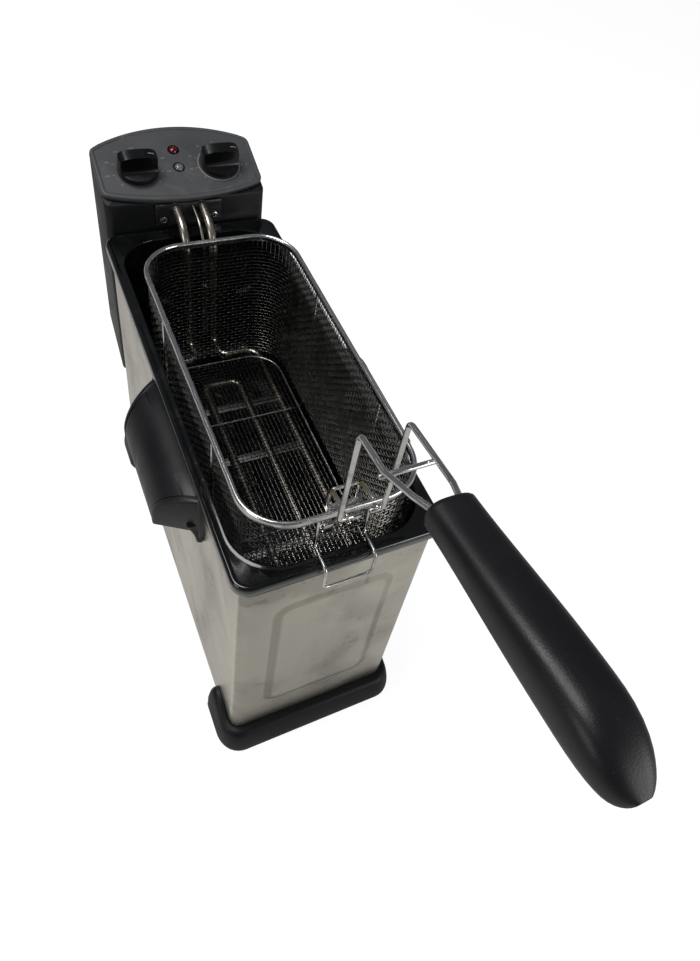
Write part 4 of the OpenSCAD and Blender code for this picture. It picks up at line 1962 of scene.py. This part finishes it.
@dataclass
class Element:
    """Heating element that hangs from the head into the pot."""

    tube_x: float = 11.5
    tube_r: float = 3.8
    head_y: float = 201.5
    head_z: float = 297.0
    slope: float = 0.2
    drop_y: float = 147.0
    bed_z: float = 163.5
    outer_x: float = 46.0
    inner_x: float = 16.0
    front_y: float = -136.0
    rear_y: float = 86.0
    cross_y: float = 122.0
    plate_x: float = 28.8
    plate_z: Flat = (276.7, 298.2)
    plate_y: float = 183.5
    screw_x: float = 22.4
    bars: tuple[float, ...] = (-95.0, 0.0, 60.0)
    bar_half: Flat = (51.0, 4.0)
    leg_x: float = 30.0
    leg_z: float = 133.1
    bulb_x: float = 3.0
    bulb_top: float = 234.4

    def height_at(self, y: float) -> float:
        """Height of the sloping run behind the clamp plate."""
        return self.head_z - self.slope * (self.head_y - y)

    def tube_path(self) -> list[Vector]:
        """Whole run of the tube, out of the head and back into it.

        Returns:
            The points of the path.
        """
        x, z = self.tube_x, self.bed_z
        half = [
            (x, self.head_y, self.head_z), (x, self.drop_y, self.height_at(self.drop_y)),
            (x, self.drop_y, z),
            (x, self.cross_y, z), (self.outer_x, self.cross_y, z),
            (self.outer_x, self.front_y, z), (self.inner_x, self.front_y, z),
            (self.inner_x, self.rear_y, z),
        ]
        other = [(-px, py, pz) for px, py, pz in reversed(half)]
        bends = [28, 8, 8, 12, 8, 8, 8]
        return rounded_path([*half, *other], [*bends, *bends[::-1]], 9)

    def plate(self) -> Form:
        """Dark clamp plate with a thicker upper lip.

        Returns:
            The plate.
        """
        z0, z1 = self.plate_z
        x, y = self.plate_x, self.plate_y
        collar = [(self.tube_r, 0), (5.6, 0), (5.8, 0.5), (5.4, 1.1), (self.tube_r, 1.3)]
        form = Form().block((-x, y - 2.0, z0), (x, y + 0.3, z1), 0.45)
        form.block((-x, y - 3.2, z1 - 6), (x, y + 0.3, z1), 0.9)
        for i in BOTH:
            spot = shift(i * self.tube_x, y - 2.0, self.height_at(y))
            form.join(Form().lathe(collar, 36).place(spot @ FORWARD))
        return form

    def screws(self) -> Form:
        """Two cross-head screws in the clamp plate.

        Returns:
            The screws as one form.
        """
        form = Form()
        for i in BOTH:
            spot = shift(i * self.screw_x, self.plate_y - 1.98, self.plate_z[0] + 5.5)
            form.join(screw_head(3.4, 1.95).place(spot @ FORWARD))
        return form

    def supports(self) -> Form:
        """Three strips under the element, each on two legs.

        Returns:
            The strips as one form.
        """
        form = Form()
        z, (x, wide) = self.bed_z - self.tube_r, self.bar_half
        for y in self.bars:
            form.block((-x, y - wide, z - 1.2), (x, y + wide, z + 0.02), 0.3)
            for leg in (-self.leg_x, self.leg_x):
                low, high = (leg - 0.8, y - wide, self.leg_z), (leg + 0.8, y + wide, z - 1.1)
                form.block(low, high, 0.25)
        return form

    def capillary(self) -> Form:
        """Thin line from the thermostat down to its bulb.

        Returns:
            The line.
        """
        x, y, up = self.bulb_x, self.drop_y, 1.5
        corners = [(x, self.head_y, self.head_z + up), (x, y, self.height_at(y) + up),
                   (x, y, self.bulb_top)]
        return Form().tube(rounded_path(corners, 26, 9), 1.2, 12)

    def bulb(self) -> Form:
        """Thermostat's sensing bulb.

        Returns:
            The bulb.
        """
        profile = [(0, 176.5), (1.6, 176.6), (2.6, 177.4), (3, 178.8), (3, 231), (2.5, 233),
                   (1.35, 234.2), (1.25, 234.5), (0, 234.5)]
        return Form().lathe(profile, 28).place(shift(self.bulb_x, self.drop_y, 0))

    def build(self) -> None:
        """Makes the element's pieces."""
        head = Body.HEAD
        tube = Form().tube(self.tube_path(), self.tube_r, 24)
        piece(tube, "heater_tube", head, ELEMENT, ["heating_element"], 50)
        piece(self.plate(), "clamp_plate", head, DARK_PLATE, ["element_plate"], 40)
        piece(self.screws(), "clamp_screws", head, SCREW, ["plate_screws"])
        piece(self.supports(), "support_strips", head, PLAIN_STEEL, ["element_support"])
        piece(self.capillary(), "capillary_line", head, ELEMENT, ["capillary_tube"], 50)
        piece(self.bulb(), "thermostat_bulb", head, ELEMENT, ["sensing_bulb"], 50)


@dataclass
class Knob:
    """Round knob with a tall finger blade."""

    side: Side
    body: Body
    head: ControlHead
    radius: float = 17.0
    disc_low: float = 0.8
    disc_high: float = 6.2
    top: float = 21.0
    blade: float = 4.9
    scoop: float = 5.6
    stem: float = 3.0
    crown: float = 5.0
    taper: float = 0.045
    mark: Flat = (8.2, 13.4)
    mark_half: float = 0.4

    def drop(self, x: float, z: float) -> float:
        """How far the blade's top falls away towards its ends."""
        share = max(z - self.disc_high, 0.0) / (self.top - self.disc_high)
        return self.crown * share * (x / self.radius) ** 4

    def height(self, y: float) -> float:
        """Height of the upper surface across the blade.

        Args:
            y: place across the blade.

        Returns:
            The height.
        """
        t = min(max((abs(y) - self.blade) / self.scoop, 0.0), 1.0)
        shoulder = self.disc_high + 1.4 * (1 - min(abs(y) / self.radius, 1.0))
        return mix(shoulder, self.top, (1 - t) ** 2.6)

    def rows(self) -> list[float]:
        """Lines along the blade, closer together on its flanks.

        Returns:
            Their places across the blade.
        """
        half = [0.0, 2.4, 4.3, 4.7, 4.9, 5.0, 5.15, 5.35, 5.7, 6.2, 6.9, 7.8, 8.9, 10.5, 12.2, 13.8,
                15.2, 16.2, 16.8]
        return [-y for y in reversed(half[1:])] + half

    def form(self) -> Form:
        """Knob in its own frame, z out of the fascia.

        Returns:
            The knob.
        """
        form = Form()
        ids = []
        for y in self.rows():
            z = self.height(y)
            reach = math.sqrt(self.radius**2 - y * y)
            reach -= self.taper * (z - self.disc_low) * reach / self.radius
            row = [mix(-reach, reach, s / 24) for s in range(25)]
            ids.append(form.loop(Vector((x, y, z - self.drop(x, z))) for x in row))
        for a, b in zip(ids, ids[1:]):
            form.skin(a, b, closed=False)
        border = [
            *ids[0], *[row[-1] for row in ids[1:-1]], *ids[-1][::-1],
            *[row[0] for row in ids[-2:0:-1]],
        ]
        skirt = []
        for i in border:
            p = form.points[i]
            a, r = math.atan2(p.y, p.x), self.radius
            skirt.append(Vector((r * math.cos(a), r * math.sin(a), self.disc_low + 0.5)))
        side = form.loop(skirt)
        form.skin(border, side)
        base = form.loop(Vector((p.x * 0.975, p.y * 0.975, self.disc_low)) for p in skirt)
        form.skin(side, base)
        form.faces.append(base)
        stem = [(0, -19), (2.7, -19), (self.stem, -18.6), (self.stem, 1.2), (0, 1.2)]
        return form.join(Form().lathe(stem, 32))

    def pointer(self) -> Form:
        """White line that follows the blade's top.

        Returns:
            The line.
        """
        form = Form()
        w = self.mark_half
        section = ((-w, -0.3), (w, -0.3), (w, 0.08), (-w, 0.08))
        loops = []
        for s in range(9):
            x = mix(*self.mark, s / 8)
            z = self.top - self.drop(x, self.top)
            loops.append([Vector((x, y, z + up)) for y, up in section])
        form.loft(loops)
        return form

    def build(self) -> None:
        """Makes the knob and its pointer."""
        name = self.side.name.lower()
        here = self.head.at_knob(self.side.value)
        piece(
            self.form().place(here), f"{name}_finger_knob", self.body, KNOB, [f"{name}_knob"], 40,
            rounding=(0.7, 3, 42),
        )
        line = self.pointer().place(here)
        piece(line, f"{name}_knob_line", self.body, MARK_WHITE, [f"{name}_pointer"])


# ---------------------------------------------------------------- basket


@dataclass
class Basket:
    """Woven wire basket with its rim, hoops, hooks and handle bracket."""

    half_x: float = 60.5
    half_y: float = 137.0
    centre_y: float = -27.5
    corner: float = 32.0
    rim_z: float = 309.7
    mesh_in: float = 0.9
    bead: float = 1.85
    floor_z: float = 172.3
    floor_bend: float = 5.5
    mesh_wire: float = 0.37
    pitch: float = 3.75
    weave: float = 0.42
    hoop_r: float = 1.0
    hoop_y: Flat = (-85.5, 34.5)
    hoop_x: float = 60.6
    hoop_z: float = 169.6
    lug_x: float = 9.8
    rod_r: float = 1.5
    rod_y: float = -157.5
    rod_z: Flat = (285.7, 325.2)
    pivot: Flat = (-181.0, 328.7)
    pivot_r: float = 2.06
    hook_x: float = 17.5
    hook_r: float = 1.25
    hook_y: float = -184.7
    hook_z: Flat = (276.65, 255.5)
    clip_z: Flat = (287.5, 296.5)

    @property
    def front(self) -> float:
        """Y of the rim wire at the front."""
        return self.centre_y - self.half_y

    def line(self, less: float, steps: int = 8) -> list[Flat]:
        """Plan of the basket, drawn in from the rim wire's centre line.

        Args:
            less: how far in.
            steps: segments in each corner.

        Returns:
            The outline.
        """
        return rounded_rect(
            2 * (self.half_x - less), 2 * (self.half_y - less), self.corner - less, steps,
            self.centre_y,
        )

    def around(self, less: float, count: int) -> list[tuple[Vector, Vector]]:
        """Evenly spaced points round the plan with their outward directions.

        Args:
            less: how far in.
            count: number of points.

        Returns:
            Each point with its direction.
        """
        line = [Vector((x, y, 0)) for x, y in self.line(less, 16)]
        sizes = [(line[(i + 1) % len(line)] - p).length for i, p in enumerate(line)]
        total = sum(sizes)
        points = []
        at, passed = 0, 0.0
        for k in range(count):
            want = total * k / count
            while passed + sizes[at] < want - 1e-9:
                passed += sizes[at]
                at += 1
            a, b = line[at], line[(at + 1) % len(line)]
            t = (want - passed) / sizes[at]
            along = (b - a).normalized()
            points.append((a.lerp(b, t), Vector((along.y, -along.x, 0))))
        return points

    def rim(self) -> Form:
        """Rolled steel rim: a bead on top and a skirt each side of the mesh.

        Returns:
            The rim.
        """
        section = (
            (0.93, -3.0), (1.0, -2.6), (1.0, 0.3), (0.93, 0.95), (0.71, 1.6), (0.38, 2.08),
            (0.0, 2.25), (-0.38, 2.08), (-0.71, 1.6), (-0.93, 0.95), (-1.0, 0.3), (-1.0, -2.6),
            (-0.93, -3.0), (-0.81, -3.1), (-0.74, -2.6), (-0.74, -1.6), (0.74, -1.6),
            (0.74, -2.6), (0.81, -3.1),
        )
        section = tuple((x * self.bead, z) for x, z in section)
        path = at_height(self.line(0, 12), self.rim_z)
        return Form().sweep(path, lambda i: section, True, Vector((0, 0, 1)))

    def walls(self) -> Form:
        """Upright and level wires of the wall, woven over and under each other.

        Returns:
            The wires as one form.
        """
        form = Form()
        less = self.mesh_in
        perimeter = 4 * (self.half_x + self.half_y) - (8 - TAU) * self.corner
        count = 2 * round(perimeter / self.pitch / 2)
        top, bend = self.rim_z - 1.4, self.floor_bend
        low = self.floor_z + bend
        levels = round((top - low) / self.pitch)
        ring = self.around(less, count)
        for k in range(levels + 1):
            z = mix(low, top, (k + 0.5) / (levels + 1))
            path = [
                p + out * (self.weave if (n + k) % 2 else -self.weave) + Vector((0, 0, z))
                for n, (p, out) in enumerate(ring)
            ]
            form.tube(path, self.mesh_wire, 5, True)
        for n, (p, out) in enumerate(ring):
            path = [p + Vector((0, 0, top))]
            for k in range(levels, -1, -1):
                z = mix(low, top, (k + 0.5) / (levels + 1))
                swing = -self.weave if (n + k) % 2 else self.weave
                path.append(p + out * swing + Vector((0, 0, z)))
            path += [p - out * bend * (1 - c) + Vector((0, 0, low - bend * s)) for c, s in quarter(3)]
            path.append(p - out * (bend + 5) + Vector((0, 0, self.floor_z)))
            form.tube(path, self.mesh_wire, 5)
        return form

    def span(self, line: Sequence[Flat], at: float, axis: int) -> Flat | None:
        """Ends of a straight wire across the plan at one place along an axis.

        Args:
            line: the plan.
            at: place along the axis.
            axis: 0 for x, 1 for y.

        Returns:
            Its lower and upper end, or None off the plan.
        """
        hits = []
        for i, a in enumerate(line):
            b = line[(i + 1) % len(line)]
            if (a[axis] - at) * (b[axis] - at) < 0:
                t = (at - a[axis]) / (b[axis] - a[axis])
                hits.append(mix(a[1 - axis], b[1 - axis], t))
        return (min(hits), max(hits)) if len(hits) > 1 else None

    def floor(self) -> Form:
        """Woven floor inside the bend of the wall.

        Returns:
            The wires as one form.
        """
        form = Form()
        line = self.line(self.mesh_in + self.floor_bend - 1.0, 12)
        for axis in (0, 1):
            half = (self.half_x, self.half_y)[axis]
            middle = (0.0, self.centre_y)[axis]
            number = round(2 * half / self.pitch)
            for n in range(number + 1):
                at = middle + mix(-half, half, (n + 0.5) / (number + 1))
                ends = self.span(line, at, axis)
                if ends is None or ends[1] - ends[0] < 8:
                    continue
                other = (self.half_y, self.half_x)[axis]
                cross = (self.centre_y, 0.0)[axis]
                count = round(2 * other / self.pitch)
                path = [self.floor_point(axis, at, ends[0], 0)]
                for m in range(count + 1):
                    along = cross + mix(-other, other, (m + 0.5) / (count + 1))
                    if ends[0] + 1 < along < ends[1] - 1:
                        swing = self.weave if (n + m + axis) % 2 else -self.weave
                        path.append(self.floor_point(axis, at, along, swing))
                path.append(self.floor_point(axis, at, ends[1], 0))
                form.tube(path, self.mesh_wire, 5)
        return form

    def floor_point(self, axis: int, at: float, along: float, up: float) -> Vector:
        """Point of a floor wire that runs across an axis."""
        x, y = (at, along) if axis == 0 else (along, at)
        return Vector((x, y, self.floor_z + up))

    def frame_wires(self) -> Form:
        """Two hoops under the basket.

        Returns:
            The hoops as one form.
        """
        form = Form()
        x, z, top = self.hoop_x, self.hoop_z, self.rim_z - 3
        for y in self.hoop_y:
            path = rounded_path([(-x, y, top), (-x, y, z), (x, y, z), (x, y, top)], 7, 6)
            form.tube(path, self.hoop_r, 14, tip=0.6)
        return form

    def seam(self) -> Form:
        """Wire ring that binds the floor to the walls."""
        path = at_height(self.line(self.mesh_in + 4.2, 10), self.floor_z + 1.6)
        return Form().tube(path, 0.9, 8, True)

    def bracket(self) -> Form:
        """Two wire hooks for the handle, joined at their feet.

        Returns:
            The hooks and their foot as one form.
        """
        form = Form()
        (py, pz), (low, high) = self.pivot, self.rod_z
        x, y, thin = self.lug_x, self.rod_y, self.rod_r * 0.62
        ring = self.pivot_r + thin
        turns = [math.radians(140 - 300 * s / 16) for s in range(17)]
        for i in BOTH:
            side = i * x
            path = rounded_path(
                [(side, y, low), (side, y, high + 1.6), (side, py + 4.6, pz + 3.4)], 6.5, 9
            )
            form.tube(path, self.rod_r, 14, tip=0.5)
            eye = [Vector((side, py + ring * math.cos(a), pz + ring * math.sin(a))) for a in turns]
            form.tube(eye, thin, 12, tip=0.3)
        corners = [(-x, y, low + 3), (-x, y, low), (x, y, low), (x, y, low + 3)]
        return form.tube(rounded_path(corners, 2.2, 5), self.rod_r, 14)

    def staple(self) -> Form:
        """Bowed cross wire between the two hooks.

        Returns:
            The wire.
        """
        x, y, low, high = self.lug_x - 0.4, self.rod_y, self.rim_z + 1.5, self.rod_z[1] - 0.4
        corners = [(-x, y + 2.4, low), (-x, y + 0.4, high), (x, y + 0.4, high), (x, y + 2.4, low)]
        return Form().tube(rounded_path(corners, 3.4, 7), 1.2, 14, tip=0.5)

    def clip(self) -> Form:
        """Folded steel clips that hold the bracket to the rim and to the mesh.

        Returns:
            The clips as one form.
        """
        y, z, (z0, z1), rod = self.front, self.rim_z, self.clip_z, self.rod_y + 1.0
        x = self.lug_x + 3
        form = Form().block((-x, y + 2.0, z - 1.0), (x, y + 6.3, z + 1.0), 0.3)
        for i in BOTH:
            a, b = i * self.lug_x - 3.2, i * self.lug_x + 3.2
            form.block((a, y + 0.25, z0), (b, y + 0.9, z1), 0.25)
            form.block((a, y + 0.3, z1 - 0.9), (b, rod, z1), 0.25)
            form.block((a, y + 0.3, z0), (b, rod, z0 + 0.9), 0.25)
        return form

    def hook(self) -> Form:
        """Drain hook on the front: legs from the rim, over the flange and down.

        Returns:
            The hook.
        """
        x, y, r = self.hook_x, self.hook_y, self.hook_r
        high, low = self.hook_z
        inner = self.front - 0.2 + r * 0.4
        half = [(x, inner, self.rim_z - 2.5), (x, inner, high), (x, y, high), (x, y, low)]
        corners = [(-px, py, pz) for px, py, pz in half] + half[::-1]
        return Form().tube(rounded_path(corners, [4, 4.5, 4, 4, 4.5, 4], 7), r, 16, tip=0.5)

    def build(self) -> None:
        """Makes the basket's pieces."""
        body = Body.BASKET
        piece(self.rim(), "rolled_rim", body, CHROME, ["basket_rim"], 50)
        piece(self.walls(), "woven_walls", body, MESH_WIRE, ["basket_mesh"], 70)
        piece(self.floor(), "woven_floor", body, MESH_WIRE, ["basket_mesh"], 70)
        piece(self.seam(), "floor_seam_wire", body, CHROME, crease=60)
        piece(self.frame_wires(), "under_hoops", body, CHROME, ["basket_frame"], 60)
        piece(self.bracket(), "handle_hooks", body, TINTED, ["handle_bracket"], 60)
        piece(self.staple(), "bracket_cross_wire", body, CHROME, crease=60)
        piece(self.clip(), "bracket_clips", body, CHROME)
        piece(self.hook(), "front_drain_hook", body, CHROME, ["drain_hook"], 60)


@dataclass
class Handle:
    """Folding wire handle with a tapered moulded grip."""

    wire: float = 1.7
    foot_x: float = 14.3
    pivot: Flat = (-181.0, 328.7)
    peak: Flat = (-183.0, 409.7)
    knee: Flat = (-210.0, 413.3)
    bend: Point = (11.2, -231.0, 420.8)
    neck: Point = (7.6, -244.0, 425.05)
    tail: Flat = (-288.5, 431.7)
    bar: Flat = (-210.0, 409.99)
    bar_x: float = 16.7
    bar_r: float = 1.6
    pin_x: float = 5.4
    grip_y: float = -245.0
    grip_z: float = 425.2
    rise: float = 8.5
    length: float = 139.0
    half: Flat = (13.3, 15.2)
    crown: Flat = (8.9, 12.5)
    keel: Flat = (9.7, 14.3)
    prow: float = 40.0

    def wires(self) -> Form:
        """Two bent wires, each with a pin turned inwards at its foot.

        Returns:
            The wires as one form.
        """
        form = Form()
        for i in BOTH:
            x = i * self.foot_x
            corners = [
                (i * self.pin_x, *self.pivot), (x, *self.pivot), (x, *self.peak), (x, *self.knee),
                (i * self.bend[0], *self.bend[1:]), (i * self.neck[0], *self.neck[1:]),
                (i * self.neck[0], *self.tail),
            ]
            path = rounded_path(corners, [2.3, 4.5, 9, 7, 6], 8)
            form.tube(path, self.wire, 16, tip=0.5)
        return form

    def grip_size(self, d: float) -> Point:
        """Half width, top and underside of the grip's section at a distance along it.

        Args:
            d: distance along the grip.

        Returns:
            Half width, height of the top and of the underside.
        """
        t = d / self.length
        end = max((d - self.length + self.prow) / self.prow, 0.0)
        lip = max((d - self.length + 10) / 10, 0.0)
        half = mix(*self.half, smooth_step(t * 1.6)) * math.sqrt(max(1 - (0.985 * end) ** 3.2, 0.0))
        top = mix(*self.crown, smooth_step(t * 1.4)) - 17 * end**2.4
        low = 9 * (1 - math.sqrt(max(1 - lip * lip, 0.0))) - mix(*self.keel, smooth_step(t * 1.1))
        return half, top, low

    def grip(self) -> Form:
        """Grip with a crowned top, flatter sides and a boat-shaped far end.

        Returns:
            The grip.
        """
        form = Form()
        loops = []
        turns = [(math.cos(TAU * k / 48), math.sin(TAU * k / 48)) for k in range(48)]
        stations = [0, 0.4, 1.4, 3, 6, 12, 20, 32, 46, 60, 74, 88, 99, 106, 112, 118, 123, 127, 130,
                    132.5, 134.5, 136, 137.3, 138.2, 138.8, 139]
        for d in stations:
            half, top, low = self.grip_size(d)
            start = 1 - 0.1 * max(1 - d / 1.6, 0) ** 2
            middle, tall = (top + low) / 2, (top - low) / 2
            loop = []
            for c, s in turns:
                x = math.copysign(abs(c) ** 0.66, c) * half * start
                z = math.copysign(abs(s) ** (0.8 if s > 0 else 0.66), s) * tall * start
                loop.append(Vector((x, -d, middle + z)))
            loops.append(loop)
        form.loft(loops)
        turn = Matrix.Rotation(math.radians(-self.rise), 4, "X")
        return form.place(shift(0, self.grip_y, self.grip_z) @ turn)

    def build(self) -> None:
        """Makes the handle's pieces."""
        body = Body.HANDLE
        piece(self.wires(), "bent_handle_wires", body, CHROME, ["handle_wires"], 60)
        ends = [Vector((x, *self.bar)) for x in (-self.bar_x, self.bar_x)]
        bar = Form().tube(ends, self.bar_r, 16, tip=0.5)
        piece(bar, "cross_wire", body, CHROME, ["handle_crossbar"], 60)
        piece(self.grip(), "moulded_grip", body, GRIP, ["handle_grip"], 60)


# ---------------------------------------------------------------- studio


@dataclass
class Studio:
    """Camera, soft lights and white surroundings."""

    eye: Point = (-0.15314, -0.39128, 0.70484)
    lens: float = 28.746
    heading: float = 37.617
    pitch: float = 47.883
    roll: float = 15.712
    shift: Flat = (-0.0520, -0.0630)
    aim: Point = (0.0, 0.0, 0.2)
    floor_size: float = 30.0
    floor_glow: float = 0.9
    paper: tuple[float, ...] = (0.42, 0.41, 0.39, 1)
    shadow_paper: tuple[float, ...] = (0.3, 0.3, 0.3, 1)
    mirrored_glow: tuple[float, ...] = (0.22, 0.22, 0.22, 1)
    sky: tuple[float, ...] = (0.86, 0.9, 1.0, 1)
    sky_strength: float = 0.13

    def camera(self) -> None:
        """Places the main view's camera."""
        h, p, r = (math.radians(v) for v in (self.heading, self.pitch, self.roll))
        ahead = Vector((math.sin(h) * math.cos(p), math.cos(h) * math.cos(p), -math.sin(p)))
        level = ahead.cross(Vector((0, 0, 1))).normalized()
        above = level.cross(ahead)
        right = level * math.cos(r) + above * math.sin(r)
        up = right.cross(ahead)
        data = bpy.data.cameras.new("view")
        data.lens = self.lens
        data.sensor_width = 36
        data.sensor_fit = "AUTO"
        data.shift_x, data.shift_y = self.shift
        data.clip_start, data.clip_end = 0.01, 50
        made = bpy.data.objects.new("view", data)
        axes = Matrix((right, up, -ahead)).transposed()
        made.matrix_world = Matrix.Translation(self.eye) @ axes.to_4x4()
        bpy.context.scene.collection.objects.link(made)
        bpy.context.scene.camera = made

    def light(self, name: str, spot: Point, size: float, power: float) -> None:
        """Adds a square area light that faces the fryer.

        Args:
            name: name of the light.
            spot: where it stands, in metres.
            size: side of the light.
            power: watts.
        """
        data = bpy.data.lights.new(name, "AREA")
        data.size = size
        data.energy = power
        made = bpy.data.objects.new(name, data)
        made.location = spot
        toward = Vector(self.aim) - Vector(spot)
        made.rotation_euler = toward.to_track_quat("-Z", "Y").to_euler()
        bpy.context.scene.collection.objects.link(made)

    def wire(self, tree: bpy.types.NodeTree, kind: str, *feeds: Socket, **values: object) -> Socket:
        """Adds a node.

        Args:
            tree: the tree it goes in.
            kind: its type.
            feeds: sources for its first sockets.
            values: plain value or source of a socket, by name.

        Returns:
            Its first output, if it has one.
        """
        made = tree.nodes.new(kind)
        for source, target in zip(feeds, made.inputs):
            tree.links.new(source, target)
        for name, value in values.items():
            if isinstance(value, Socket):
                tree.links.new(value, made.inputs[name])
            else:
                made.inputs[name].default_value = value
        return made.outputs[0] if made.outputs else None

    def floor(self) -> None:
        """Plain pale floor that keeps the shadow."""
        half = self.floor_size / 2
        mesh = bpy.data.meshes.new("studio_floor")
        corners = [(-half, -half, 0), (half, -half, 0), (half, half, 0), (-half, half, 0)]
        mesh.from_pydata(corners, [], [(0, 1, 2, 3)])
        made = bpy.data.objects.new("studio_floor", mesh)
        bpy.context.scene.collection.objects.link(made)
        material = bpy.data.materials.new("floor_paper")
        material.use_nodes = True
        tree = material.node_tree
        tree.nodes.clear()
        rays = tree.nodes.new("ShaderNodeLightPath").outputs
        paper = self.wire(tree, "ShaderNodeBsdfDiffuse", Color=self.paper)
        sheen = self.wire(
            tree, "ShaderNodeEmission", Color=self.mirrored_glow, Strength=rays["Is Glossy Ray"]
        )
        lifted = self.wire(tree, "ShaderNodeAddShader", paper, sheen)
        dim = self.wire(tree, "ShaderNodeBsdfDiffuse", Color=self.shadow_paper)
        glow = self.wire(tree, "ShaderNodeEmission", Strength=self.floor_glow)
        bright = self.wire(tree, "ShaderNodeAddShader", dim, glow)
        seen = self.wire(tree, "ShaderNodeMixShader", rays["Is Camera Ray"], lifted, bright)
        self.wire(tree, "ShaderNodeOutputMaterial", seen)
        mesh.materials.append(material)

    def world(self) -> None:
        """White backdrop with a plain soft light behind it."""
        world = bpy.data.worlds.new("studio")
        bpy.context.scene.world = world
        world.use_nodes = True
        tree = world.node_tree
        tree.nodes.clear()
        rays = tree.nodes.new("ShaderNodeLightPath").outputs
        plain = self.wire(tree, "ShaderNodeBackground", Color=self.sky, Strength=self.sky_strength)
        white = self.wire(tree, "ShaderNodeBackground", Color=(1, 1, 1, 1), Strength=1.0)
        seen = self.wire(tree, "ShaderNodeMixShader", rays["Is Camera Ray"], plain, white)
        self.wire(tree, "ShaderNodeOutputWorld", seen)

    def build(self) -> None:
        """Sets up the camera, the lights and the surroundings."""
        self.camera()
        self.floor()
        self.world()
        self.light("ceiling", (-0.5, 0.3, 2.0), 0.9, 17)
        self.light("window_side", (-1.7, -0.5, 1.1), 0.7, 5)
        self.light("front_fill", (1.2, -1.7, 0.9), 1.0, 15)
        bpy.context.scene.view_settings.view_transform = "Standard"


def main() -> None:
    """Builds every piece in order."""
    logging.basicConfig(level=logging.INFO, format="%(name)s: %(message)s")
    Housing().build()
    for side in Side:
        SideGrip(side).build()
    OilPot().build()
    head = ControlHead()
    head.build()
    Element().build()
    Knob(Side.LEFT, Body.THERMOSTAT, head).build()
    Knob(Side.RIGHT, Body.TIMER, head).build()
    Basket().build()
    Handle().build()
    Studio().build()


if __name__ == "__main__":
    main()
